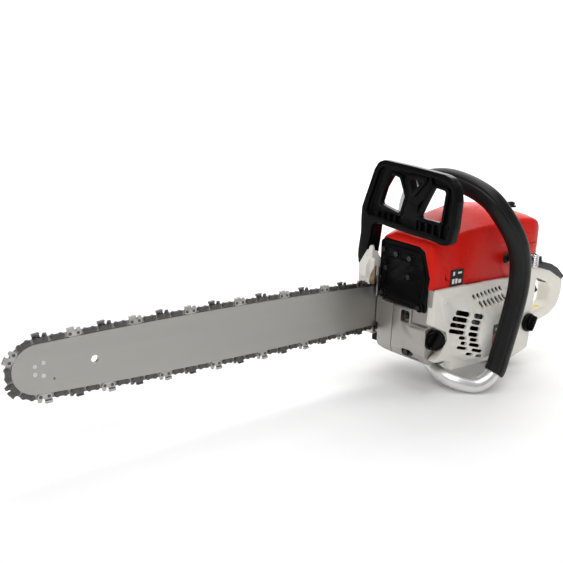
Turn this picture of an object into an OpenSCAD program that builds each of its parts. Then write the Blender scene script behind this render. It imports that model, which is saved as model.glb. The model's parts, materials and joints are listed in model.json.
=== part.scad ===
// Petrol chainsaw with a 20 inch bar: nose towards -X, starter side -Y, clutch side +Y, up +Z.
// Shapes are placed from the crank axis (X, Z) and the middle of the bar's thickness (Y).

/* [Bar and chain] */
// Distance between two neighbouring rivets of the chain
rivet_pitch = 8.255; // [8.2:0.005:8.3]
// Distance from the crank axis to the centre of the bar's nose
nose_reach = 547.2; // [545:0.1:549]
// Widest part of the guide bar
bar_w = 62.6; // [60:0.2:64]
// Thickness of the guide bar
bar_t = 4.2; // [4:0.1:4.4]
// Width of the groove that the chain's tangs run in
groove_w = 1.6; // [1.6:0.1:1.8]
// Teeth of the drive sprocket
drive_teeth = 8; // [8]
// Teeth of the nose sprocket
nose_teeth = 11; // [10:1:12]
// Distance of the first rivet along the loop, from the tip of the nose
chain_phase = 3.4; // [0:0.1:16]
// Radius of the hole that the bar hangs by
hang_hole_r = 4.1; // [3:0.1:5]

/* [Engine] */
// Radius of the cylinder's bore
bore_r = 22.5; // [22:0.1:23]
// Stroke of the piston
stroke = 32; // [30:1:32]
// Distance between the two eyes of the connecting rod
rod_len = 55; // [54:1:56]
// Radius of the crank webs
web_r = 27; // [25:0.5:27]
// Distance from the bar to the middle of the engine
engine_y = 56; // [54:1:58]
// Number of cooling fins on the cylinder
fins = 9; // [6:1:10]

/* [Handles] */
// Outer radius of the front handle's tube
tube_r = 9.5; // [9:0.1:10]
// Outer radius of the rubber sleeve on the front handle
sleeve_r = 13.5; // [12:0.1:14]
// Thickness of the rear handle's grip
grip_t = 26; // [24:1:30]

/* [Housing] */
// Height of the bar's middle line above the ground
bar_z = 102.25; // [100:0.1:110]
// Wall thickness of the plastic covers
wall = 2.5; // [2:0.1:3]
// Distance from the crank axis back to the middle of the overall length
mid_x = 148; // [140:0.05:155]
// Distance from the bar to the middle of the overall width
mid_y = 61.25; // [50:0.05:65]

/* [Hidden] */
$fn = 48;
red = "#c4231f";
ivory = "#e6e4dc";
black = "#1c1c1e";
metal = "#b4b3ae";
steel = "#8d8f90";

// ---- helpers -------------------------------------------------------------------------------

// Puts a shape in the row frame: the middle of the footprint, on the ground.
module place() translate([mid_x, mid_y, bar_z]) children();

// A box between two corners.
module box(lo, hi) translate(lo) cube(hi - lo);

// A side profile, given as (x, z) points, from y0 to y1.
module slab(points, y0, y1) translate([0, y1, 0]) rotate([90, 0, 0])
    linear_extrude(y1 - y0) polygon(points);

// A front profile, given as (y, z) points, from x0 to x1.
module plate(points, x0, x1) translate([x0, 0, 0]) rotate([90, 0, 90])
    linear_extrude(x1 - x0) polygon(points);

// Cylinders along Y, X and Z.
module rod_y(x, z, r, y0, y1) translate([x, y0, z]) rotate([-90, 0, 0]) cylinder(h = y1 - y0, r = r);
module rod_x(y, z, r, x0, x1) translate([x0, y, z]) rotate([0, 90, 0]) cylinder(h = x1 - x0, r = r);
module rod_z(x, y, r, z0, z1) translate([x, y, z0]) cylinder(h = z1 - z0, r = r);

// A ring along Y.
module ring_y(x, z, r_out, r_in, y0, y1) difference() {
    rod_y(x, z, r_out, y0, y1);
    rod_y(x, z, r_in, y0 - 1, y1 + 1);
}

// The hull of balls, each given as [x, y, z, radius], drawn in by a wall thickness.
module blob(balls, inset) hull() for (b = balls)
    translate([b[0], b[1], b[2]]) sphere(r = b[3] - inset, $fn = 24);

// ---- the chain's path ------------------------------------------------------------------------
// The rivet line is a closed loop that mirrors about Z = 0. Its upper half is four arcs and one
// straight: nose, long belly, tail of the bar, straight to the sprocket, sprocket. Each arc is
// [centre x, centre z, radius, outward angle at its start, outward angle at its end].

function pitch_r(teeth) = rivet_pitch / (2 * sin(90 / teeth));
rivet_count = 152;
rivet_drop = 3.3;
belly_r = 6000;
tail_r = 14;
tail_x = -44;
nose_r = pitch_r(nose_teeth);
drive_r = pitch_r(drive_teeth);
half_w = bar_w / 2 + rivet_drop;
belly_z = half_w - belly_r;
belly_x = sqrt(pow(belly_r - nose_r, 2) - belly_z * belly_z) - nose_reach;
nose_a = atan2(-belly_z, -nose_reach - belly_x);
tail_a = acos((tail_x - belly_x) / belly_r);
tail_c = [belly_x + (belly_r - tail_r) * cos(tail_a), belly_z + (belly_r - tail_r) * sin(tail_a)];
tail_d = norm(tail_c);
straight_a = atan2(tail_c[1], tail_c[0]) - acos((drive_r - tail_r) / tail_d);
straight_l = sqrt(tail_d * tail_d - pow(drive_r - tail_r, 2));

arcs = [
    [-nose_reach, 0, nose_r, 180, nose_a],
    [belly_x, belly_z, belly_r, nose_a, tail_a],
    [tail_c[0], tail_c[1], tail_r, tail_a, straight_a],
    [0, 0, drive_r, straight_a, 0]
];
function arc_l(a) = a[2] * (a[3] - a[4]) * PI / 180;
l1 = arc_l(arcs[0]);
l2 = l1 + arc_l(arcs[1]);
l3 = l2 + arc_l(arcs[2]);
l4 = l3 + straight_l;
half_loop = l4 + arc_l(arcs[3]);

// Point of an arc, a distance along it, drawn in by a depth: [x, z].
function on_arc(a, s, depth = 0) =
    let (t = a[3] - s / a[2] * 180 / PI)
    [a[0] + (a[2] - depth) * cos(t), a[1] + (a[2] - depth) * sin(t)];
function on_top(s) =
    s < l1 ? on_arc(arcs[0], s) :
    s < l2 ? on_arc(arcs[1], s - l1) :
    s < l3 ? on_arc(arcs[2], s - l2) :
    s < l4 ? on_arc(arcs[2], l3 - l2) + (s - l3) * [sin(straight_a), -cos(straight_a)] :
    on_arc(arcs[3], s - l4);
function on_loop(s) = s <= half_loop ? on_top(s) :
    let (p = on_top(2 * half_loop - s)) [p[0], -p[1]];
function rivet(i) =
    let (s = chain_phase + i * 2 * half_loop / rivet_count)
    on_loop(s >= 2 * half_loop ? s - 2 * half_loop : s);

// Puts link i's own frame in place: X from its first rivet to its second, Z outwards.
module at_link(i) {
    p = rivet(i);
    q = rivet(i + 1);
    translate([p[0], 0, p[1]]) rotate([0, -atan2(q[1] - p[1], q[0] - p[0]), 0]) children();
}

// Outline of the bar, drawn in by a depth from its edge.
bar_tail_x = -34;
function bar_side(depth) = concat(
    [for (k = [0:20]) on_arc(arcs[0], l1 * k / 20, rivet_drop + depth)],
    [for (k = [1:15]) on_arc(arcs[1], (l2 - l1) * k / 15, rivet_drop + depth)],
    [for (k = [1:6]) on_arc(arcs[2], 9 * k / 6, rivet_drop + depth)],
    [[bar_tail_x - depth, 9]]);
function bar_outline(depth) =
    let (top = bar_side(depth), n = len(top))
    concat(top, [for (k = [n - 1:-1:1]) [top[k][0], -top[k][1]]]);

// ---- bar and chain ---------------------------------------------------------------------------
groove_deep = 6.5;
hang_hole_x = -490.6;
stud_x = [-76, -50];
adjuster_z = 15;

module guide_bar() place() color("#9c9c98") difference() {
    slab(bar_outline(0), -bar_t / 2, bar_t / 2);
    difference() {
        slab(bar_outline(-1), -groove_w / 2, groove_w / 2);
        slab(bar_outline(groove_deep), -bar_t, bar_t);
    }
    rod_y(-nose_reach, 0, nose_r - 6, -groove_w / 2, groove_w / 2);
    rod_y(hang_hole_x, 0, hang_hole_r, -5, 5);
    rod_y(-nose_reach + 14.4, -12.1, 1.1, -5, 5);
    for (z = [-1, 1]) rod_y(-60, z * adjuster_z, 4, -5, 5);
    box([stud_x[0] - 6, -5, -4.1], [bar_tail_x + 5, 5, 4.1]);
}

// Rivets that hold the nose sprocket's race between the bar's cheeks.
race_r = 7.4;
module nose_rivets() place() color("#c8c8c4") {
    ring_y(-nose_reach, 0, 10.8, race_r - 3, -groove_w / 2, groove_w / 2);
    for (a = [10:90:280]) for (side = [-1, 1])
        rod_y(-nose_reach + race_r * cos(a), race_r * sin(a), 2.2, side > 0 ? bar_t / 2 : -bar_t / 2 - 0.3,
            side > 0 ? bar_t / 2 + 0.3 : -bar_t / 2);
}

// Outline of a side link between two rivets, in its own frame.
module strap_outline() {
    circle(r = 3.1);
    translate([rivet_pitch, 0]) circle(r = 3.1);
    translate([0, -3]) square([rivet_pitch, 5.2]);
}

// A side link with its two rivet holes, between y0 and y1.
rivet_r = 1.7;
rivet_gap = 0.07;
link_y = 0.75;
strap_t = 1.1;
module side_link(y0) translate([0, y0 + strap_t, 0]) rotate([90, 0, 0])
    linear_extrude(strap_t) difference() {
        children();
        circle(r = rivet_r, $fn = 24);
        translate([rivet_pitch, 0]) circle(r = rivet_r, $fn = 24);
    }

// One left-hand cutter: depth gauge, gullet and the working corner's top plate.
module cutter() {
    side_link(-link_y - strap_t) union() {
        strap_outline();
        polygon([[-3.1, -1], [-3.3, 6], [3.6, 6], [4.6, 2.4], [6.2, 2], [7, 5.2], [8.4, 5.9],
            [10.6, 5.6], [11.4, 2], [11.2, -1]]);
    }
    slab([[-3.3, 5.2], [-3.3, 6.3], [3.9, 7], [3.9, 5.9]], -3.6, 0.3);
    slab([[-3.2, 3.6], [-3.3, 5.3], [3.9, 5.9], [4.1, 4]], -3.6, -link_y - strap_t);
}

module chain_drive_links() place() color("#5a5852") for (i = [0:2:rivet_count - 2]) at_link(i)
    translate([0, link_y, 0]) rotate([90, 0, 0]) linear_extrude(2 * link_y) difference() {
        union() {
            circle(r = 3.1);
            translate([rivet_pitch, 0]) circle(r = 3.1);
            polygon([[0, 2.4], [0, -3.1], [1.6, -6.6], [3.4, -8.4], [5.2, -7.4], [7.6, -4.2],
                [rivet_pitch, -3.1], [rivet_pitch, 2.4]]);
        }
        circle(r = rivet_r, $fn = 24);
        translate([rivet_pitch, 0]) circle(r = rivet_r, $fn = 24);
    }

module chain_tie_straps() place() color("#5a5852") for (i = [1:2:rivet_count - 1]) at_link(i) {
    kind = (i - 1) / 2 % 4;
    if (kind != 0) side_link(-link_y - strap_t) strap_outline();
    if (kind != 2) side_link(link_y) strap_outline();
}

module chain_cutters_left() place() color("#c9c9c6") for (i = [1:8:rivet_count - 7]) at_link(i) cutter();

module chain_cutters_right() place() color("#77756f") for (i = [5:8:rivet_count - 3]) at_link(i)
    mirror([0, 1, 0]) cutter();

module chain_rivets() place() color("#a9a9a5") for (i = [0:rivet_count - 1]) {
    p = rivet(i);
    rod_y(p[0], p[1], rivet_r - rivet_gap, -link_y - strap_t - 0.4, link_y + strap_t + 0.4, $fn = 24);
}

module nose_sprocket() place() color(steel) difference() {
    rod_y(-nose_reach, 0, nose_r - 9.4, -0.5, 0.5);
    rod_y(-nose_reach, 0, 10.9, -1, 1);
    for (k = [0:nose_teeth - 1]) rotate_at(-nose_reach, k * 360 / nose_teeth)
        rod_y(nose_r - 9.4, 0, 2.6, -1, 1);
}

// Turns a shape about a line along Y through (x, 0).
module rotate_at(x, a) translate([x, 0, 0]) rotate([0, a, 0]) children();

module bar_studs() place() color(steel) for (x = stud_x) {
    rod_y(x, 0, 4, -30, 17);
    rod_y(x, 0, 6.5, -30, -26);
}

module bar_nuts() place() color("#2b2b2d") for (x = stud_x) difference() {
    union() {
        rod_y(x, 0, 7.3, 8.1, 10);
        rod_y(x, 0, 6.9, 10, 16, $fn = 6);
    }
    rod_y(x, 0, 4, 7, 18);
}

module chain_catcher() place() color(black) difference() {
    slab([[-84, -50], [-84, -43], [-70, -42], [-66, -50]], -7.9, 2.1);
    rod_y(-76, -46.5, 1.6, -9, 7);
}

// ---- engine ----------------------------------------------------------------------------------
seam = -engine_y;
split_y = -34;
case_left_y = -92;
case_right_y = -8;
cheek = 8.3;
chamber = 18.5;
case_profile = [[-85, -50], [-82, -58], [-76, -62], [62, -62], [78, -52], [84, -38], [84, 12],
    [40, 24], [34, 30], [-34, 30], [-44, 14], [-80, 14], [-85, 9]];
tank_profile = [[-81, -45], [-75, -54], [-48, -54], [-38, -44], [-38, -4], [-46, 10], [-79, 10]];
cap_c = [-70, -95, -27];
cap_yaw = 232;

// Hollows that both halves of the crankcase share.
module crank_space() {
    rod_y(0, 0, 29, seam - chamber, seam + chamber);
    rod_y(0, 0, 17.5, seam - chamber - 11.5, seam + chamber + 11.5);
    rod_y(0, 0, 14, seam - 60, seam + 60);
    rod_z(0, seam, 25.2, 0, 40);
    box([8, seam - 34, -64], [58, seam + 40, -40]);
}

// The row of the oil cap's axis: X points out of the tank.
module at_oil_cap() translate(cap_c) rotate([0, 0, cap_yaw]) children();

module crankcase_right() place() color(metal) difference() {
    union() {
        slab(case_profile, split_y, case_right_y);
        slab([[-80.6, -22], [-80.6, 22], [-40, 19], [-40, -19]], case_right_y, -bar_t / 2);
        box([-44, -17, 24], [-16, -9, 83.4]);
        box([-42, -9, 76], [-18, 20, 83.4]);
    }
    crank_space();
    for (x = stud_x) {
        rod_y(x, 0, 4, -31, 0);
        rod_y(x, 0, 6.5, -30, -26);
    }
}

module crankcase_left() place() color(metal) difference() {
    union() {
        slab(case_profile, case_left_y, split_y);
        intersection() {
            at_oil_cap() rod_x(0, 0, 17, -34, 0);
            box([-95, -110, -60], [-20, seam, 20]);
        }
        plate([[-99, 3], [-99, 41], [-91.4, 41], [-91.4, 3]], -85, -81.2);
        box([foot_x - 14, foot[0] - 12, foot[1] - 11], [foot_x, foot[0] + 12, -61]);
    }
    rod_x(foot[0], foot[1], tube_r + 0.5, foot_x - 20, foot_x + 1);
    crank_space();
    difference() {
        slab(tank_profile, case_left_y + 6, split_y - 5);
        at_oil_cap() rod_x(0, 0, 17.5, -34, 2);
    }
    at_oil_cap() {
        rod_x(0, 0, 11, -14, 1);
        rod_x(0, 0, 8, -40, -10);
        rod_x(0, 0, 16.5, 0, 30);
    }
    slab([[-88, -14], [-80.5, -8], [-80.5, 16], [-88, 16]], case_left_y - 1, -65.5);
    box([-86, -63, -10], [-78, -49, 5]);
    box([-86, -72, -56], [-80, -54, -47]);
    for (p = case_bolts) rod_x(p[0], p[1], 2.6, -82, -66);
    rod_x(guard_screws[6][0], guard_screws[6][1], 2.1, -90, -79.5);
}

module case_screws() place() color("#262628") {
    for (p = case_bolts) {
        rod_x(p[0], p[1], 4, -84.5, p[2]);
        rod_x(p[0], p[1], 2.5, p[2], -68);
    }
    for (p = guard_screws) {
        rod_x(p[0], p[1], 3.4, -91.5, -86.2);
        rod_x(p[0], p[1], 2, -86.2, -80.3);
    }
}

// Bolts in the crankcase's front, [y, z, x of the seat], and the guard's screws, [y, z].
case_bolts = [[-56, -3, -78], [-60, -51.5, -80]];
guard_screws = [[-14.6, 81.6], [-37.3, 78.4], [-60.5, 76.2], [-20.8, 57.4], [-60.8, 51.8], [-16.2, 22.5],
    [-80.6, 14.8]];

module muffler_guard() place() color(black) difference() {
    union() {
        plate([[-8, 14.4], [-6, 96], [-14, 97], [-74, 95], [-82, 90], [-91, 62], [-88, 14.4]], -86, -81);
        plate([[-70, 20], [-88.5, 20], [-90, 8], [-76, 10]], -87.5, -85.3);
    }
    plate([[-12, 18], [-10, 92], [-76, 90], [-86, 62], [-84, 18]], -84, -80);
    for (p = guard_screws) {
        rod_x(p[0], p[1], 2, -90, -79);
        rod_x(p[0], p[1], 3.7, -92, -86.2);
    }
}

module muffler() place() color("#6d6a66") difference() {
    union() {
        box([-80.3, -84, 17], [-46, -18, 90]);
        rod_x(seam, 62, 14, -46, -38);
    }
    box([-78.8, -82.5, 18.5], [-47.5, -19.5, 88.5]);
    rod_x(seam, 62, 10, -60, -30);
    rod_x(-30, 80, 5, -90, -76);
}

// Height of the top of the bore, where the piston stops at the top of its stroke.
piston_pin_z = stroke / 2 + rod_len;
crown_z = piston_pin_z + 20;
head_z = crown_z + 10;

module engine_cylinder() place() color("#a7a7a3") difference() {
    union() {
        rod_z(0, seam, 28, 30, head_z + 4);
        box([-32, seam - 32, 30], [32, seam + 32, 34]);
        for (k = [0:fins - 1]) box([-34, seam - 31, 40 + k * 8], [34, seam + 35, 42 + k * 8]);
        rod_x(seam, 62, 16, -38, 0);
        rod_x(seam, 52, 15, 0, 40);
    }
    rod_z(0, seam, bore_r, 20, crown_z + 1);
    rod_z(0, seam, 15, crown_z, crown_z + 6);
    rod_x(seam, 62, 9, -50, 0);
    rod_x(seam, 50, 9, 0, 50);
    at_plug() {
        rod_z(0, 0, 5, -12, 14);
        rod_z(0, 0, 10.8, 6, 60);
    }
}

// The spark plug leans back from the head.
module at_plug() translate([6, seam, head_z]) rotate([0, 64, 0]) children();

module spark_plug() place() color("#e8e6e0") at_plug() {
    rod_z(0, 0, 5, -9, 6);
    rod_z(0, 0, 9.5, 6, 11, $fn = 6);
    rod_z(0, 0, 5.2, 11, 24);
    rod_z(0, 0, 2.4, 24, 29);
}

module plug_boot() place() color(black) difference() {
    union() {
        at_plug() rod_z(0, 0, 8, 14, 36);
        rod_along([[38, -57, 116], [45, -68, 113], [42, -86, 100], [32, -91, 88], [14, -91.6, 78],
            [4, -91.6, 65.5]], 3, 8);
    }
    at_plug() {
        rod_z(0, 0, 5.2, 11, 24);
        rod_z(0, 0, 2.4, 23, 29);
    }
}

module ignition_coil() place() color("#3a3a3e") {
    box([-16, -97.6, 37.9], [16, -93.2, 41.4]);
    box([-16, -94.8, 41.4], [16, -90, 54]);
    box([-12, -95, 46], [12, -88, 64]);
}

module intake_boot() place() color(black) ring_x(seam, 51, 17, 9, 40, 62);

// A ring along X.
module ring_x(y, z, r_out, r_in, x0, x1) difference() {
    rod_x(y, z, r_out, x0, x1);
    rod_x(y, z, r_in, x0 - 1, x1 + 1);
}

throat_z = 51;
throttle_x = 70;
choke_x = 88;
module carburettor() place() color("#b9b4a6") difference() {
    union() {
        box([62, seam - 18, throat_z - 17], [97, seam + 18, throat_z + 17]);
        rod_z(79, seam - 6, 8, throat_z - 22, throat_z - 17);
    }
    rod_x(seam, throat_z, 9, 50, 110);
    for (x = [throttle_x, choke_x]) rod_z(x, seam, 2.05, throat_z - 30, throat_z + 30);
}

// A plate valve on its own spindle, in the carburettor's throat.
module plate_valve(x, arm) {
    rod_z(x, seam, 2, throat_z - 16, throat_z + 23);
    rod_x(seam, throat_z, 8.6, x - 0.5, x + 0.5);
    box([x - 2, seam, throat_z + 20], [x + 2, seam + arm, throat_z + 22.5]);
}

module throttle_shaft() place() color(steel) translate([throttle_x, seam, 0]) rotate([0, 0, 168])
    translate([-throttle_x, -seam, 0]) plate_valve(throttle_x, 12);

module choke_plate() place() color(steel) translate([choke_x, seam, 0]) rotate([0, 0, -90])
    translate([-choke_x, -seam, 0]) plate_valve(choke_x, 11);

module air_filter() place() color("#d9cfa8") difference() {
    union() {
        box([102, -86, 80], [138, -20, 108]);
        box([112, seam - 16, 36], [132, seam + 16, 80]);
        rod_x(seam, throat_z, 12, 97, 112);
    }
    box([105, -83, 84], [135, -23, 105]);
    box([115, seam - 13, 40], [129, seam + 13, 86]);
    rod_x(seam, throat_z, 9, 90, 120);
}

// ---- turning parts ---------------------------------------------------------------------------

// A crank web with its counterweight, from y0 to y1.
module web(y0, y1) difference() {
    rod_y(0, 0, web_r, y0, y1);
    for (side = [-1, 1]) rod_y(side * 22, 17, 12, y0 - 1, y1 + 1);
}

module crankshaft_left() place() color(steel) {
    web(seam - 17.3, seam - cheek);
    rod_y(0, 0, 7.5, seam - 30.5, seam - 17.3);
    rod_y(0, 0, 6.9, -104.4, seam - 30.5);
    rod_y(0, 0, 9, -104.2, -101.5, $fn = 6);
}

module crankshaft_right() place() color(steel) {
    web(seam + cheek, seam + 17.3);
    rod_y(0, 0, 7.5, seam + 17.3, seam + 30.5);
    rod_y(0, 0, 6, seam + 30.5, 28);
}

module main_bearings() place() color("#9a9a98") for (side = [-1, 1]) {
    y0 = side > 0 ? seam + 18.9 : seam - 29.9;
    ring_y(0, 0, 17.5, 14.6, y0, y0 + 11);
    ring_y(0, 0, 10.6, 7.55, y0, y0 + 11);
    for (a = [0:45:315]) translate([12.6 * cos(a), y0 + 5.5, 12.6 * sin(a)]) sphere(r = 1.9, $fn = 16);
}

module crank_seals() place() color("#5b3a2a") {
    ring_y(0, 0, 14, 6.95, -92, -87);
    ring_y(0, 0, 14, 6.05, -24, -19);
}

module conrod() place() color(steel) {
    difference() {
        union() {
            rod_y(0, stroke / 2, 11, seam - 7, seam + 7);
            rod_y(0, piston_pin_z, 8.5, seam - 5, seam + 5);
            slab([[-5, 20], [-4, 66], [4, 66], [5, 20]], seam - 4, seam + 4);
        }
        rod_y(0, stroke / 2, 6.5, seam - 9, seam + 9);
        rod_y(0, piston_pin_z, 5, seam - 9, seam + 9);
    }
    rod_y(0, stroke / 2, 6.5, seam - 8, seam + 8);
}

module piston() place() color("#b9b9b5") difference() {
    rod_z(0, seam, bore_r - 0.06, piston_pin_z - 9.5, crown_z);
    rod_z(0, seam, 18.5, piston_pin_z - 20, crown_z - 5);
    rod_y(0, piston_pin_z, 5, seam - 30, seam + 30);
    for (z = [crown_z - 5, crown_z - 9]) translate([0, seam, z]) difference() {
        cylinder(h = 1.5, r = 30);
        translate([0, 0, -1]) cylinder(h = 4, r = 20.2);
    }
    box([-6, seam - 8, piston_pin_z - 20], [6, seam + 8, piston_pin_z - 8]);
}

module piston_rings() place() color("#66645f") for (z = [crown_z - 5, crown_z - 9])
    translate([0, seam, z]) difference() {
        cylinder(h = 1.5, r = bore_r - 0.06);
        translate([0, 0, -1]) cylinder(h = 4, r = 20.2);
        translate([0, -0.4, -1]) cube([40, 0.8, 4]);
    }

module gudgeon_pin() place() color(steel) ring_y(0, piston_pin_z, 5, 3, seam - 20, seam + 20);

fan_blades = 14;
flywheel_r = 37.4;
module flywheel() place() color("#9c9c9a") difference() {
    union() {
        rod_y(0, 0, flywheel_r, -97, -93.5);
        ring_y(0, 0, flywheel_r, flywheel_r - 4, -101, -97);
        rod_y(0, 0, 14, -101.5, -97);
        for (k = [0:fan_blades - 1]) rotate([0, k * 360 / fan_blades, 0])
            box([16, -101, -1.2], [flywheel_r - 3, -97, 1.2]);
    }
    rod_y(0, 0, 6.9, -120, -80);
}

reel_r = 14.8;
reel_y = -108.8;
module starter_reel() place() color("#d9d6cc") difference() {
    union() {
        rod_y(0, 0, reel_r, reel_y, reel_y + 0.9);
        rod_y(0, 0, reel_r - 3, reel_y + 0.9, reel_y + 3.3);
        rod_y(0, 0, reel_r, reel_y + 3.3, reel_y + 4.2);
    }
    rod_y(0, 0, post_r + 0.05, -120, -100);
    ring_y(0, 0, reel_r - 4.4, 7.5, -120, reel_y + 2.4);
}

module recoil_spring() place() color(steel) for (r = [8.2:1:9.8])
    ring_y(0, 0, r + 0.5, r, reel_y - 0.2, reel_y + 2);

module clutch_drum() place() color("#7c7c7c") difference() {
    union() {
        rod_y(0, 0, 37, 6.2, 26);
        rod_y(0, 0, 17.3, 1.2, 5);
        rod_y(0, 0, 12.4, -1.2, 6.2);
        rod_y(0, 0, 17.3, -5, -1.2);
    }
    rod_y(0, 0, 35, 8.2, 30);
    rod_y(0, 0, 6.05, -10, 30);
    for (k = [0:drive_teeth - 1]) rotate([0, k * 360 / drive_teeth, 0]) rod_y(19, 0, 3.2, -6, 5.1);
}

module clutch_hub() place() color(steel) difference() {
    union() {
        rod_y(0, 0, 12, 10, 24);
        for (k = [0:2]) rotate([0, k * 120, 0]) box([8, 11, -3], [29, 22, 3]);
        rod_y(0, 0, 9.5, 24, 27, $fn = 6);
    }
    rod_y(0, 0, 6, 5, 30);
}

module clutch_shoes() place() color("#4c4a47") for (k = [0:2]) rotate([0, 60 + k * 120, 0])
    difference() {
        intersection() {
            ring_y(0, 0, 34.2, 16, 11, 22);
            slab([[0, 0], [60, 96], [90, 0], [60, -96]], 9, 26);
        }
        rotate([0, 60, 0]) box([0, 8, -3.6], [40, 26, 3.6]);
        rotate([0, -60, 0]) box([0, 8, -3.6], [40, 26, 3.6]);
    }

module brake_band() place() color("#8b8d90") difference() {
    rod_y(0, 0, 39, 9, 22);
    rod_y(0, 0, 37.9, 8, 23);
    box([-34, 8, 10], [-28, 30, 40]);
}

// ---- covers ----------------------------------------------------------------------------------

// Corners of the top cover: [x, y, z, radius].
top_cover_balls = [[-78, -95, 96, 8], [-78, -12, 92, 8], [-78, -95, 49, 8], [-78, -12, 49, 8],
    [10, -93, 108, 10], [70, -93, 114, 11], [134, -90, 114, 13], [134, -22, 114, 13],
    [28, -34, 118, 14], [80, -38, 121, 14], [118, -50, 119, 14], [138, -94, 60, 9],
    [138, -13, 60, 9], [-40, -14, 100, 10]];
module top_cover() place() color(red) difference() {
    blob(top_cover_balls, 0);
    blob([for (b = top_cover_balls) [b[0], b[1], b[2] < 70 ? b[2] - 30 : b[2], b[3]]], wall);
    box([-100, -93, 20], [-60, -2, 98]);
    box([-120, -120, 20], [100, 10, 41.5]);
    box([92, -120, 20], [160, 10, 69]);
    box([-46, -12, 20], [-14, 10, 90]);
    rod_z(knob_c[0], knob_c[1], 4.2, 100, 150);
}

knob_c = [120, -58, 133.7];
module cover_knob() place() color(black) translate(knob_c) {
    rod_z(0, 0, 4, -14, 0);
    rod_z(0, 0, 11, 0, 2.5);
    slab([[-13, 2], [-11, 6.5], [8, 7.5], [13, 5.5], [12, 2]], -2.5, 2.5);
}

starter_profile = [[-84, 41], [86, 41], [89, 36], [89, -36], [74, -62], [54, -74], [-40, -68],
    [-44, -56], [-72, -56], [-81, -53], [-70, -46], [-46, -44], [-46, -10], [-70, -9], [-84, -4]];
starter_inner = [[-78, 38], [83, 38], [86, 34], [86, -35], [72, -60], [53, -71], [-37, -65],
    [-43, -52], [-43, -7], [-70, -6], [-78, -2]];
bulge_base = [[-51, -30], [-51, -8], [-50, 10], [-44, 26], [-27, 35], [-7, 37], [34, 37], [80, 34],
    [84, 20], [84, -40], [70, -60], [50, -68], [-30, -62], [-46, -50]];
bulge_top = [[-8, -46], [-3, -34], [3, -22], [9, -14], [17, -8], [29, -2], [44, 2], [64, 3], [74, -4],
    [75, -36], [64, -52], [50, -58], [8, -57], [-4, -53]];
post_r = 5;
// The cover's bulge over the recoil starter, drawn in by a depth.
function shrunk(points, centre, k) = [for (p = points) centre + (p - centre) * k];
module bulge(depth) hull() {
    slab(shrunk(bulge_base, [13, -12], 1 - depth / 58), -103 + depth / 2, -102 + depth / 2);
    slab(shrunk(bulge_top, [34, -27], 1 - depth / 34), -120 + depth, -119 + depth);
}
module starter_cover() place() color(ivory) difference() {
    union() {
        slab(starter_profile, -104, case_left_y - 0.4);
        bulge(0);
    }
    difference() {
        union() {
            slab(starter_inner, -101.5, -90);
            bulge(wall);
        }
        rod_y(0, 0, post_r, -120, reel_y + 4);
    }
    box([-18, -102, 30], [18, -90, 45]);
    box([-90, -99.4, -12], [-80.8, -90, 50]);
    vents(8, [-20, 30], 9.6, 9);
    vents(7, [-13, 18.5], 9.6, 9);
    for (k = [0:7]) for (side = [0, 1])
        box([-50 + 21 * side + (k > 3 ? (k - 3) * 3 : 0), -125, 8 - k * 8.4],
            [-33 + 21 * side, -95, 11.5 - k * 8.4]);
}

// A row of leaning cooling slots: count, first slot (x, z), step along X and length.
slot_lean = 24;
module vents(count, start, step, length) for (k = [0:count - 1])
    translate([start[0] + k * step, 0, start[1]]) rotate([0, -slot_lean, 0])
        box([-1.7, -125, -length / 2], [1.7, -95, length / 2]);

clutch_profile = [[-108, 42], [-112, 46], [-112, 60], [-98, 78], [-92, 78], [-60, 68], [-40, 62],
    [24, 54], [46, 30], [50, 0], [44, -34], [22, -50], [-66, -50], [-86, -42], [-90, -28],
    [-90, 42]];
clutch_inner = [[-86, 45], [-86, 64], [-60, 65], [-40, 59], [22, 51], [43, 29], [47, 0], [41, -33],
    [21, -47], [-65, -47], [-83, -40], [-87, -27]];
pivot = [-88, 62];
module clutch_cover() place() color(ivory) difference() {
    union() {
        slab(clutch_profile, 2.4, 8.4);
        slab(clutch_big, 8, 34);
        slab([[-108, 42], [-112, 46], [-112, 60], [-98, 78], [-92, 78], [-87, 66], [-87, 42]], -5, 3);
        rod_y(pivot[0], pivot[1], 4, 0, 27);
        rod_y(pivot[0], pivot[1], 7, 25.6, 27.6);
    }
    difference() {
        union() {
            slab(clutch_inner, 0, 8.2);
            slab(clutch_big_inner, 7.5, 31.5);
        }
        slab([[-95, -23], [-95, 23], [-38, 19], [-38, -19]], -1, 40);
    }
    slab([[-86, -18], [-86, 18], [-42.2, 16], [-42.2, -16]], 8, 40);
    rod_y(0, 0, 40.2, 0, 31.5);
    for (x = stud_x) rod_y(x, 0, 4.1, 0, 20);
    for (side = [-1, 1]) box([-96, -6, side * 33 - 9], [-60, 5.4, side * 33 + 8.8]);
}
clutch_big = [[-74, 62], [-40, 60], [24, 54], [46, 30], [50, 0], [44, -34], [22, -50], [-66, -50],
    [-86, -42], [-90, -28], [-90, 42], [-76, 44]];
clutch_big_inner = [[-71, 59], [-41, 57], [22, 51], [43, 29], [47, 0], [41, -33], [21, -47],
    [-65, -47], [-83, -40], [-87, -27], [-87, 39], [-74, 41]];

module cover_strip() place() color("#c4c4c2") {
    box([-90, -8, 15], [-87, -5.4, 54]);
    box([-90, -8, 54], [-86, -5.4, 56]);
}

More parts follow.
